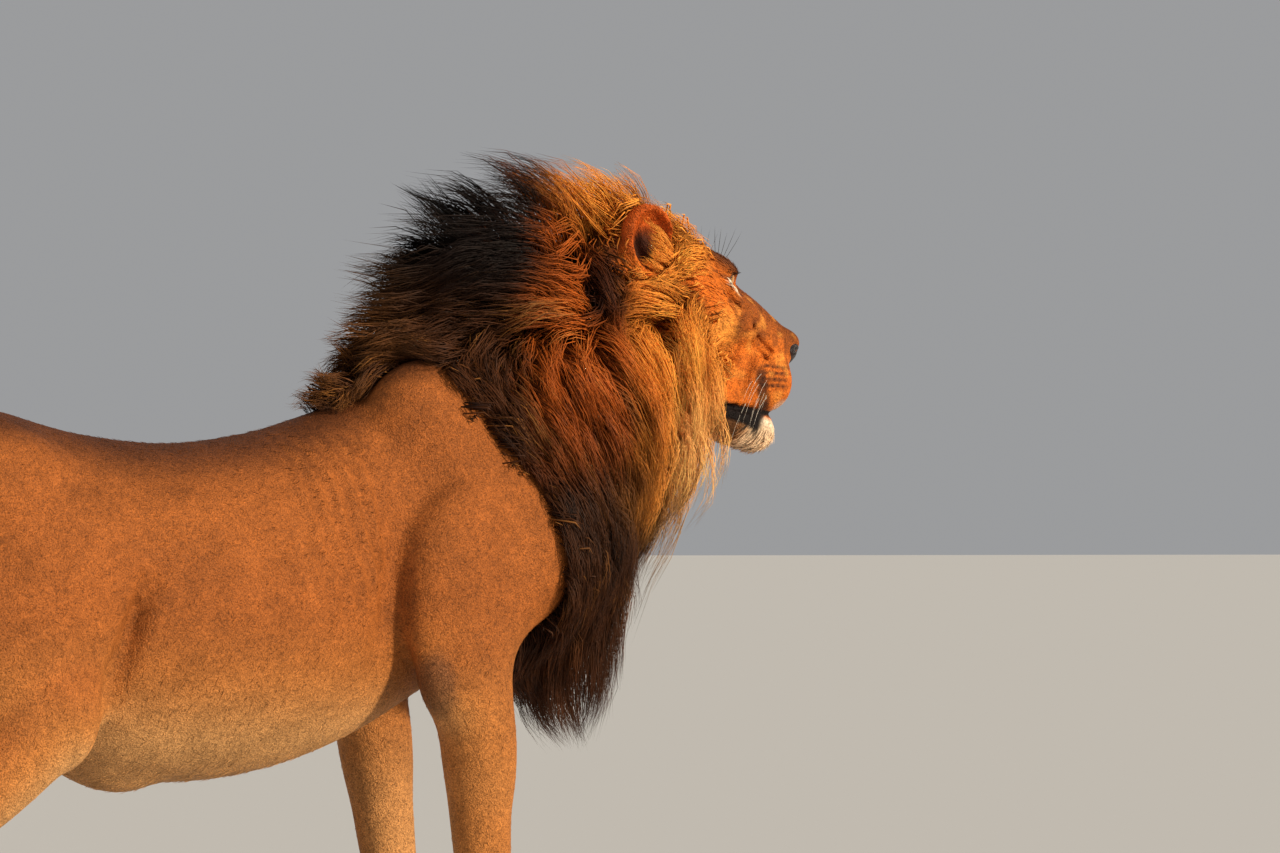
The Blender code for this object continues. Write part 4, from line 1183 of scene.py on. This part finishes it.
def coat_lie(points, out):
    """Which way the short coat lies: back from the nose, back along the trunk, down the legs."""
    x, y, z = points.T
    local = head_space(points)
    from_nose = unit(local - (0.17, 0.0, -0.05)) @ HEAD_AXES.T
    on_head = ramp(local[:, 0], -0.3, -0.16) * ramp(z, 0.98, 1.04)
    on_ear = ramp(off_ears(local), 0.085, 0.065)
    on_leg = ramp(z, 0.8, 0.52) * ramp(np.abs(y), 0.03, 0.09)
    on_paw = ramp(z, 0.13, 0.06)
    on_tail = ramp(x, -1.09, -1.15)
    on_trunk = np.clip(1 - on_head - on_leg - on_tail, 0.05, 1)
    ways = (
        ((-1.0, 0, -0.28), on_trunk),
        (from_nose, on_head * (1 - on_ear)),
        ((-0.35, 0, 1.0), on_ear),
        ((-0.25, 0, -1.0), on_leg * (1 - on_paw)),
        ((0.8, 0, -0.45), on_paw),
        ((-0.1, 0, -1.0), on_tail),
    )
    way = unit(sum(np.array(way) * share[:, None] for way, share in ways))
    way = way + 0.18 * np.stack([cloud(points, 0.06, 40 + a) for a in range(3)], 1)
    return unit(way - out * (way * out).sum(1, keepdims=True))


def coat_reach(points, out):
    """How long the tufts are, as a share: shortest on the nose and feet, longest by the mane."""
    z, on_head = points[:, 2], head_share(points)
    local = head_space(points)
    reach = np.interp(z, (0.02, 0.12, 0.45, 0.6), (0.45, 0.65, 0.8, 1.0))
    face = np.interp(-local[:, 0], (-0.15, -0.05, 0.0, 0.08, 0.14), (0.6, 1.0, 1.6, 2.6, 3.0))
    face = np.where(off_ears(local) < 0.075, 1.2, face)
    reach = reach * (1 + 0.35 * ramp(z, 0.52, 0.46) * ramp(out[:, 2], -0.5, -0.9))
    chin = ramp(local[:, 2], -0.215, -0.235) * ramp(local[:, 0], 0.06, 0.09) * on_head
    return reach * (1 - on_head) + face * on_head + chin * 1.6


TUFT_SHAPE = (
    (0.0, 0.0, -0.01), (0.0, -0.4, -0.035), (0.0, 0.4, -0.035),
    (0.45, 0.0, 0.03), (0.45, -0.5, 0.002), (0.45, 0.5, 0.002),
)


def tuft_object(width):
    """One tuft, a unit long: a thin closed blade that rises a little and bows back down."""
    points = [(x, y * width, z) for x, y, z in TUFT_SHAPE] + [(1.0, 0.0, 0.016)]
    faces = [(0, 2, 1)]
    for a, b in ((0, 1), (1, 2), (2, 0)):
        faces += [(a, b, 3 + b), (a, 3 + b, 3 + a), (3 + a, 3 + b, 6)]
    mesh = bpy.data.meshes.new("tuft")
    mesh.from_pydata(points, [], faces)
    return bpy.data.objects.new("tuft", mesh)


def coat_nodes(name, finish_of_coat, blade):
    """The tree that sows, turns, sizes and realises the tufts of one stretch of coat."""
    tree = bpy.data.node_groups.new(name, "GeometryNodeTree")
    sockets = (
        ("Geometry", "INPUT", "Geometry"),
        ("Tufts Per Area", "INPUT", "Float"),
        ("Length", "INPUT", "Float"),
        ("Seed", "INPUT", "Int"),
        ("Geometry", "OUTPUT", "Geometry"),
    )
    for label, in_out, kind in sockets:
        tree.interface.new_socket(label, in_out=in_out, socket_type="NodeSocket" + kind)
    tree_in = tree.nodes.new("NodeGroupInput")
    tree_out = tree.nodes.new("NodeGroupOutput")
    nodes = Wire(tree)

    def given(label):
        return Wire(tree, tree_in.outputs[label])

    def named(attribute, kind, out=0):
        return nodes.node("GeometryNodeInputNamedAttribute", {"data_type": kind}, {0: attribute}, out)

    def chance(low, high, salt, kind="FLOAT", slots=(2, 3), out=1):
        values = {slots[0]: low, slots[1]: high, 8: given("Seed") + salt}
        return nodes.node("FunctionNodeRandomValue", {"data_type": kind}, values, out)

    def vector(operation, values):
        return nodes.node("ShaderNodeVectorMath", {"operation": operation}, values)

    density = named("thick", "FLOAT") * given("Tufts Per Area")
    sown_at = nodes.node(
        "GeometryNodeDistributePointsOnFaces",
        {"distribute_method": "RANDOM"},
        {"Mesh": given("Geometry"), "Density": density, "Seed": given("Seed")},
    )
    normal = Wire(tree, sown_at.socket.node.outputs["Normal"])
    lie = named("lie", "FLOAT_VECTOR")
    way = vector("ADD", {0: lie, 1: chance((-0.28,) * 3, (0.28,) * 3, 1, "FLOAT_VECTOR", (0, 1), 0)})
    up = vector("SUBTRACT", {0: normal, 1: vector("SCALE", {0: lie, 3: chance(-0.1, 0.16, 2)})})
    axes = {"primary_axis": "Z", "secondary_axis": "X"}
    turn = nodes.node("FunctionNodeAxesToRotation", axes, {0: up, 1: way})
    size = named("reach", "FLOAT") * given("Length") * chance(0.7, 1.25, 3)
    shape = nodes.node("GeometryNodeObjectInfo", None, {"Object": blade}, out=4)
    placing = {"Points": sown_at, "Instance": shape, "Rotation": turn, "Scale": size}
    placed = nodes.node("GeometryNodeInstanceOnPoints", None, placing)
    real = nodes.node("GeometryNodeRealizeInstances", None, {"Geometry": placed})
    done = nodes.node("GeometryNodeSetMaterial", None, {"Geometry": real, "Material": finish_of_coat})
    tree.links.new(done.socket, tree_out.inputs[0])
    return tree


def legs_chart(points, post):
    """Both legs of a pair rolled out side by side round their own posts, and the tail between."""
    x, y, z = points.T
    turn = np.arctan2(np.abs(y) - post[1], x - post[0]) / (2 * pi) + 0.5
    chart = np.where(y > 0, turn * 0.44, 1 - turn * 0.44)
    tail_turn = np.arctan2(y - 0.02, x - TAIL[3][0][0]) / (2 * pi) + 0.5
    chart = np.where(x < TAIL[1][0][0], 0.455 + 0.09 * tail_turn, chart)
    return on_map(chart, z / 1.15)


head_zone = ramp(head_space(skin_points)[:, 0], -0.31, -0.29) * ramp(skin_points[:, 2], 0.95, 0.96)
fore_zone = ramp(skin_points[:, 0], -0.21, -0.19) * (1 - head_zone)
hind_zone = ramp(skin_points[:, 0], -0.61, -0.63)
off_nose = np.linalg.norm(head_space(skin_points) - (0.15, 0, -0.075), axis=1)
zones = {
    "coat_head": head_zone,
    "coat_fore": fore_zone,
    "coat_trunk": (1 - fore_zone - head_zone - hind_zone).clip(0, 1),
    "coat_hind": hind_zone,
}
charts = {
    "coat_head": lambda points: around(head_space(points), -0.36, 0.18, (0, 0, -0.08)),
    "coat_fore": lambda points: legs_chart(points, (WRIST.x, WRIST.y)),
    "coat_trunk": lambda points: around(points, -0.66, -0.16, (0, 0, 0.75)),
    "coat_hind": lambda points: legs_chart(points, (HOCK.x + 0.1, HOCK.y)),
}
mane_cover = ramp(body.at(skin_points) - hull.at(skin_points), 0.02, 0.045)
mane_cover *= (skin_points > np.array(MANE_LOW)).all(1) & (skin_points < np.array(MANE_HIGH)).all(1)
bare = ramp(skin_points[:, 2], 0.012, 0.02)
carrier = skin.copy()
carrier.data = skin_mesh.copy()
carrier.data.materials.clear()
bpy.context.collection.objects.link(carrier)
store(carrier.data, "lie", "FLOAT_VECTOR", "vector", coat_lie(skin_points, skin_out))
store(carrier.data, "reach", "FLOAT", "value", coat_reach(skin_points, skin_out))
thick = carrier.data.attributes.new("thick", "FLOAT", "POINT")
skin_triangles, skin_areas = triangles(skin_mesh)
coat_finish = hair_finish("short_coat", 0.6, 0.12, 0.4, 2.4)
each = len(TUFT_SHAPE) + 1
for name, sizes in COATS.items():
    density = zones[name] * (1 - mane_cover) * bare
    if name == "coat_head":
        density = density * ramp(off_nose, 0.03, 0.045)
    thick.data.foreach_set("value", density.astype(np.float32))
    covered = (skin_areas * density[skin_triangles].mean(1)).sum()
    blade = tuft_object(sizes["width"])
    tree = coat_nodes(name, coat_finish, blade)
    growth = carrier.modifiers.new(name, "NODES")
    growth.node_group = tree
    inputs = {item.name: item.identifier for item in tree.interface.items_tree if item.in_out == "INPUT"}
    growth[inputs["Tufts Per Area"]] = sizes["tufts"] / covered
    growth[inputs["Length"]] = sizes["length"]
    growth[inputs["Seed"]] = sizes["seed"]
    mesh = shaped(carrier)
    carrier.modifiers.remove(growth)
    bpy.data.objects.remove(blade)
    mesh.name = name
    coat = linked(name, mesh)
    tufts = len(mesh.vertices) // each
    tone = numbers(mesh.attributes["tone"].data, "color", 4).reshape(tufts, each, 4)[..., :3]
    chance = np.random.default_rng(sizes["seed"]).uniform(-1, 1, (tufts, 1, 1))
    tips = np.array((1.0,) * 3 + (1.08,) * 3 + (1.18,))[None, :, None]
    tone = tone * tips * (1 + 0.2 * chance)
    for spare in ("tone", "lie", "reach", "thick", "plain", "id"):
        if spare in mesh.attributes:
            mesh.attributes.remove(mesh.attributes[spare])
    lay_tone(mesh, tone.reshape(-1, 3))
    feet = own_points(mesh).reshape(tufts, each, 3)[:, :3]
    across, along = (0.5, 0.0, 1.0) * 2 + (0.5,), (0.0,) * 3 + (0.45,) * 3 + (1.0,)
    patched(mesh, charts[name](feet.mean(1)), across, along)
    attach(coat, "root")
bpy.data.objects.remove(carrier)


# ======== the eyes
# Glass domes set into the lids, as taxidermists fit them: amber iris, round pupil, clear cornea.
# A ball with a slight bulge at the front, coloured in rings round the way it looks.
GAZE_ASIDE = 22
PUPIL = 0.0034
IRIS = 0.0108
CORNEA_BULGE = 0.055
AMBER = linear(196, 132, 36)
AMBER_RIM = linear(92, 52, 14)
PUPIL_BLACK = linear(9, 8, 8)
EYE_WHITE = linear(118, 92, 70)


def ball(turns, rows, radius):
    """Points and triangles of a ball whose pole is +X, with the angle of each point from it."""
    angle = np.linspace(0, pi, rows + 1)[1:-1]
    turn = np.arange(turns) * 2 * pi / turns
    angle, turn = np.repeat(angle, turns), np.tile(turn, rows - 1)
    ring = np.stack([np.cos(angle), np.sin(angle) * np.cos(turn), np.sin(angle) * np.sin(turn)], 1)
    points = np.concatenate([[(1, 0, 0)], ring, [(-1, 0, 0)]]) * radius
    faces = []
    last = len(points) - 1
    for a in range(turns):
        b = (a + 1) % turns
        faces += [(0, 1 + a, 1 + b), (last, last - turns + b, last - turns + a)]
        for row in range(rows - 2):
            near, far = 1 + row * turns, 1 + (row + 1) * turns
            faces += [(near + a, far + a, far + b), (near + a, far + b, near + b)]
    return points, np.array(faces), np.concatenate([[0], angle, [pi]]), np.concatenate([[0], turn, [0]])


glass, glass_tree, glass_shader = finish("glass_eye", 0.06, 0.6)
glass_shader.inputs["Coat Weight"].default_value = 1.0
glass_shader.inputs["Coat Roughness"].default_value = 0.03
link(glass_tree.node("ShaderNodeAttribute", {"attribute_name": "tone"}), glass_shader, "Base Color")
for name, side in SIDES.items():
    points, faces, angle, turn = ball(turns=64, rows=48, radius=EYE_RADIUS - 0.0003)
    off = np.sin(angle) * EYE_RADIUS
    points = points * (1 + CORNEA_BULGE * ramp(angle, 0.75, 0.25))[:, None]
    streak = 0.5 + 0.5 * np.sin(turn * 23) * np.sin(turn * 7 + 1)
    tone = painted(
        np.tile(AMBER, (len(points), 1)),
        (AMBER_RIM, 0.5 * streak * ramp(off, PUPIL, IRIS)),
        (AMBER_RIM, ramp(off, IRIS * 0.8, IRIS * 0.97)),
        (EYE_WHITE, ramp(off, IRIS, IRIS * 1.08)),
        (EYE_WHITE, angle > pi / 2),
        (PUPIL_BLACK, ramp(off, PUPIL * 1.1, PUPIL * 0.9) * (angle < 1)),
    )
    aim = Matrix.Rotation(radians(side * GAZE_ASIDE), 3, "Z")
    place = HEAD @ Matrix.Translation(mirrored(EYE, side)) @ aim.to_4x4()
    points = points @ np.array(place.to_3x3()).T + np.array(place.translation)
    eye = piece_of("glass_eye_" + name, points, faces)
    lay_tone(eye.data, tone)
    eye.data.materials.append(glass)
    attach(eye, "root")
    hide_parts("eye_" + name)


# ======== the nose
# Bare, dark, pebbled leather over gristle, with two comma-shaped nostrils and a groove below.
# Melted like the skin, on a grid fine enough for the nostrils.
NOSE_STEP = 0.0013
NOSE_BOX = ((0.74, -0.15, 1.13), (0.85, -0.04, 1.25))
NOSE_LEATHER = linear(26, 18, 17)
NOSE_PINK = linear(52, 34, 30)


def half_leather(s):
    return [egg((0.1475, s * 0.0205, -0.083), (0.0125, 0.01, 0.011), melt=0.006)]


def half_nostrils(s):
    return [
        egg((0.167, s * 0.013, -0.084), (0.01, 0.006, 0.0056), (0, 0, s * 16), 0.003),
        rod((0.164, s * 0.015, -0.0845), (0.15, s * 0.033, -0.0815), (0.0036, 0.0022), 0.003),
    ]


NOSE_LUMPS = [
    egg((0.1525, 0, -0.0815), (0.012, 0.0255, 0.016), (0, 22, 0), 0.01),
    egg((0.148, 0, -0.095), (0.0125, 0.016, 0.02), (0, 19, 0), 0.012),
    *both_sides(half_leather),
]
NOSE_GROOVE = rod((0.168, 0, -0.08), (0.158, 0, -0.114), (0.0016, 0.0022), 0.003)
nose_axes = [np.arange(low, high, NOSE_STEP) for low, high in zip(*NOSE_BOX)]
nose_field = melted(NOSE_LUMPS, [*both_sides(half_nostrils), NOSE_GROOVE], nose_axes)
nose = piece_of("nose_leather", *skinned(nose_field, nose_axes))
even_out(nose)
settle(nose)
leather, tree, shader = finish("nose_leather_finish", 0.38, 0.5)
place = tree.node("ShaderNodeTexCoord", out=3)
edges = {"feature": "DISTANCE_TO_EDGE"}
pebbles = tree.node("ShaderNodeTexVoronoi", edges, {"Vector": place, "Scale": 620.0})
blotch = tree.node("ShaderNodeTexNoise", None, {"Vector": place, "Scale": 130.0, "Detail": 3.0})
stops = {"stops": ((0.35, NOSE_LEATHER), (0.8, NOSE_PINK))}
link(tree.node("ShaderNodeValToRGB", stops, {"Fac": blotch}), shader, "Base Color")
raised = {"Strength": 0.5, "Distance": 0.0006, "Height": pebbles * 6.0 + blotch}
link(tree.node("ShaderNodeBump", None, raised), shader, "Normal")
nose.data.materials.append(leather)
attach(nose, "root")
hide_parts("nose")


# ======== the claws
# Horn tips, drawn in so that only their points show between the hair of the toes.
# Each is a short curved cone out of the front of its toe.
CLAW_LENGTH = 0.016
CLAW_WIDTH = 0.0062
HORN_ROOT = linear(150, 128, 104)
HORN_TIP = linear(62, 48, 38)
claw_roots, claw_aims, claw_sizes = [], [], []
for name, side in SIDES.items():
    fore = by(mirrored(WRIST, side), FORE_STEP[name] + PASTERN[0], 0)
    hind = by(mirrored(HOCK, side), HIND_STEP[name] + CANNON[0], 0)
    for ankle, scale in ((fore, FORE_PAW), (hind, HIND_PAW)):
        for ahead, aside in TOES:
            spread = atan2(aside, TOE_FAN)
            aim = np.array((cos(spread), sin(spread), 0))
            beside = ankle.y + aside * TOES_APART * scale
            toe = np.array((ankle.x + ahead * scale, beside, 0.033 * scale))
            claw_roots.append(toe + aim * 0.032 * scale)
            claw_aims.append(aim)
            claw_sizes.append(scale)
claw_roots, claw_aims = np.array(claw_roots), np.array(claw_aims)
t = np.linspace(0, 1, 7)[None, :, None]
droop = np.array((0, 0, -1.0)) * 0.75
reach = CLAW_LENGTH * np.array(claw_sizes)[:, None, None]
claw_paths = claw_roots[:, None] + (claw_aims[:, None] * t + droop * t**2) * reach
claw_tone = HORN_ROOT + (HORN_TIP - HORN_ROOT) * np.broadcast_to(t, (*claw_paths.shape[:2], 1))
horn = hair_finish("claw_horn", 0.35, 0.5, 0.05)


def in_a_row(count):
    """Places for a few hairs or claws, side by side across the bake map."""
    return np.stack([np.linspace(0.1, 0.9, count), np.full(count, 0.5)], 1)


claw_places = in_a_row(len(claw_roots))
claws = strands("claws", claw_paths, CLAW_WIDTH, (0, 0, 1.0), claw_tone, claw_places, horn, 0.9)
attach(claws, "root")


# ======== the whiskers, the brow hairs and the lashes
# Stiff single hairs: white ones in rows on the lip pads, dark ones over the eyes and on the lids.
WHISKER_WIDTH = 0.0007
LASH_WIDTH = 0.0009
WHISKER_WHITE = linear(236, 228, 210)
LASH_BLACK = linear(30, 20, 16)
whisker_finish = hair_finish("whisker", 0.35, 0.5, 0.0)


def bristles(name, hairs, sag, tone, width):
    """Single hairs, each with its root in the head's space, its way and its length."""
    roots, aims, lengths = (np.array(rows) for rows in zip(*hairs))
    t = np.linspace(0, 1, 7)[None, :, None]
    bent = unit(aims)[:, None] * t + np.array(sag) * t**2
    paths = from_head(roots[:, None] + bent * lengths[:, None, None])
    tones = np.tile(tone, (*paths.shape[:2], 1))
    flat_to = (0.2, 0.3, 0.9)
    made = strands(name, paths, width, flat_to, tones, in_a_row(len(roots)), whisker_finish, 0.9)
    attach(made, "root")


random = np.random.default_rng(17)
whiskers, lashes = [], []
for side in SIDES.values():
    for row in range(4):
        for spot in range(3):
            x, z = 0.118 - 0.013 * spot, -0.132 - 0.013 * row
            root = (x, side * (0.054 + 0.05 * (0.125 - x)), z)
            aim = (-0.9, side * random.uniform(0.3, 0.7), -0.25 - 0.12 * row + random.uniform(-0.4, 0.4))
            whiskers.append((root, aim, random.uniform(0.035, 0.1)))
bristles("whiskers", whiskers, (0.3, 0, -1.0), WHISKER_WHITE, WHISKER_WIDTH)
for side in SIDES.values():
    for spot in range(5):
        root = (-0.012 - 0.006 * spot, side * (0.046 + 0.003 * spot), 0.038)
        lashes.append((root, (0.35 - 0.2 * spot, side * 0.35, 1.0), random.uniform(0.035, 0.055)))
    for spot in range(14):
        swing = radians(-60 + 9 * spot)
        out = np.array((cos(swing + 0.4), side * sin(swing + 0.9), 0))
        root = np.array((-0.014, side * 0.056, 0.0125)) + out * 0.0165
        lashes.append((root, (out[0], out[1], 0.25), 0.012))
bristles("brow_hairs_and_lashes", lashes, (0.0, 0, 0.25), LASH_BLACK, LASH_WIDTH)


# ======== the hair in the ears
# Pale soft hair that grows from each ear's front edge and lies back across the opening.
EAR_GUIDES = 34
EAR_HAIRS = 12
EAR_HAIR_WIDTH = 0.001
random = np.random.default_rng(29)
ear_paths = []
t = np.linspace(0, 1, 9)[None, :, None]
for side in SIDES.values():
    height = random.uniform(-1, 1, EAR_GUIDES)
    start = (
        EAR.x + 0.044 - 0.012 * height**2 + random.uniform(-0.006, 0.004, EAR_GUIDES),
        EAR.y + 0.01 + random.uniform(-0.006, 0.008, EAR_GUIDES),
        EAR.z - 0.022 + 0.032 * height,
    )
    way = (np.full(EAR_GUIDES, -1.0), random.uniform(0.1, 0.45, EAR_GUIDES), 0.7 + 0.35 * height)
    way = unit(np.stack(way, 1) + random.uniform(-0.2, 0.2, (EAR_GUIDES, 3)))
    reach = random.uniform(0.034, 0.056, EAR_GUIDES) * (1 + 0.35 * ramp(height, 0.0, 0.8))
    bent = (way[:, None] * t + np.array((-0.1, -0.25, -0.15)) * t**2) * reach[:, None, None]
    ear_paths.append(from_head((np.stack(start, 1)[:, None] + bent) * (1, side, 1)))
hairs = locked(np.concatenate(ear_paths), EAR_HAIRS, 0.005, 0.5, random)
hairs = cut(hairs, 0.7, RINGS, random)
hair_t = stops_of(hairs)[..., None]
tones = MANE_GOLD * (0.8 + 0.4 * hair_t) * (1 + 0.3 * random.uniform(-1, 1, (len(hairs), 1, 1)))
places = around(head_space(hairs[:, 0]), -0.25, -0.1, (0, 0, -0.02))
ear_hair = strands("ear_hair", hairs, EAR_HAIR_WIDTH, (0.2, 0.9, 0.3), tones, places, mane_finish)
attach(ear_hair, "root")


# ======== the tail's tuft
# Longer dark hair from the last hand's breadth of the tail, hanging past the bone to a point.
TUFT_GUIDES = 110
TUFT_STEP = 0.006
TUFT_STOPS = 12
TUFT_HAIR_WIDTH = 0.0026
TUFT_LOW, TUFT_HIGH = (-1.33, -0.06, 0.05), (-1.13, 0.12, 0.42)
TUFT_MIDDLE = (-1.215, 0.03, 0.275)
TUFT = [
    Limb(TAIL[-1][0], TUFT_MIDDLE, (0.02, 0.026), melt=0.02),
    Limb(TUFT_MIDDLE, (-1.275, 0.035, 0.165), (0.026, 0.04), swell=0.008, melt=0.03),
    Egg((-1.295, 0.037, 0.125), (0.03, 0.026, 0.055), (0, 30, 0), 0.03),
]


def tail_lie(points, out):
    way = np.array((-0.45, 0.05, -0.9))
    return np.broadcast_to(way / np.linalg.norm(way), points.shape)


def tuft_growth(points, out):
    x, y, z = points.T
    return ramp(x, -1.1, -1.15) * ramp(z, 0.37, 0.31) * (np.abs(y - 0.03) < 0.05)


tuft_hull = Depths(TUFT, TUFT_LOW, TUFT_HIGH, TUFT_STEP)
tuft_bone = Depths(BONY_TAIL, TUFT_LOW, TUFT_HIGH, TUFT_STEP)
nowhere = Depths([], TUFT_LOW, TUFT_HIGH, 0.05)
fields = (tuft_hull, tuft_bone, nowhere)
random = np.random.default_rng(23)
roots, root_out = sown(skin_mesh, TUFT_GUIDES, tuft_growth, 24)
targets = 0.02 * random.uniform(0, 1, TUFT_GUIDES) ** 1.5
lengths = random.uniform(0.1, 0.15, TUFT_GUIDES)
guides = grown(roots, root_out, lengths, targets, fields, tail_lie, TUFT_STOPS, random)
hairs = locked(guides, LOCK_HAIRS, 0.007, 0.6, random)
hairs = cut(hairs, 0.7, RINGS, random)
hair_t = stops_of(hairs)[..., None]
shade = (0.7 + 0.4 * hair_t) * (1 + 0.25 * random.uniform(-1, 1, (len(hairs), 1, 1)))
tones = (MANE_BLACK + (MANE_BROWN - MANE_BLACK) * 0.25) * shade
facing = unit(tuft_hull.slope(hairs))
places = around(hairs[:, 0, ::-1], 0.15, 0.4, (0, 0.03, -1.2))
tail_hair = strands("tail_tuft_hair", hairs, TUFT_HAIR_WIDTH, facing, tones, places, mane_finish)
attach(tail_hair, "root")
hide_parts("tail_tuft")


# ======== the floor, the lights and the camera
# A plain pale floor, a soft key light from the lion's front right, a fill and a pale sky.
FLOOR_REACH = 400.0
floor_mesh = bpy.data.meshes.new("floor")
floor_corners = [(x * FLOOR_REACH, y * FLOOR_REACH, 0) for x, y in ((-1, -1), (1, -1), (1, 1), (-1, 1))]
floor_mesh.from_pydata(floor_corners, [], [(0, 1, 2, 3)])
floor = linked("floor", floor_mesh)
floor_finish, _, shader = finish("pale_floor", 0.9, 0.1)
shader.inputs["Base Color"].default_value = (0.62, 0.6, 0.57, 1)
floor_mesh.materials.append(floor_finish)

sky = bpy.data.worlds.new("pale_sky")
sky.use_nodes = True
sky_light = sky.node_tree.nodes["Background"].inputs
sky_light["Color"].default_value = (0.86, 0.87, 0.89, 1)
sky_light["Strength"].default_value = 0.38
bpy.context.scene.world = sky
bpy.context.scene.view_settings.view_transform = "Standard"


def sun(name, right, forward, up, strength, angle, colour):
    """A soft light from far away, from a place seen from the camera's right, ahead and up."""
    light = bpy.data.lights.new(name, "SUN")
    light.energy, light.angle, light.color = strength, radians(angle), colour
    towards = CAMERA_RIGHT * right + CAMERA_FORWARD * forward + Vector((0, 0, up))
    linked(name, light).rotation_euler = towards.to_track_quat("Z", "Y").to_euler()


CAMERA_RIGHT = Vector((0.788, -0.616, 0.0))
CAMERA_FORWARD = Vector((0.616, 0.788, 0.0))
CAMERA_BACK_OFF = 16.0
CAMERA_ASIDE = 0.402
CAMERA_HEIGHT = 0.845
CAMERA_LIFT = radians(0.677)
sun("key", 0.88, -0.42, 0.32, 4.5, 6, (1.0, 0.88, 0.7))
sun("fill", -0.7, -0.8, 0.7, 0.6, 40, (0.9, 0.95, 1.0))

camera = linked("camera", bpy.data.cameras.new("camera"))
camera.data.lens = 270.0
camera.data.sensor_width = 36.0
camera.data.clip_end = 2000.0
ahead = CAMERA_FORWARD * cos(CAMERA_LIFT) + Vector((0, 0, sin(CAMERA_LIFT)))
place = CAMERA_RIGHT * CAMERA_ASIDE - CAMERA_FORWARD * CAMERA_BACK_OFF
camera.location = place + Vector((0, 0, CAMERA_HEIGHT)) + MOVE
camera.rotation_euler = (-ahead).to_track_quat("Z", "Y").to_euler()
bpy.context.scene.camera = camera
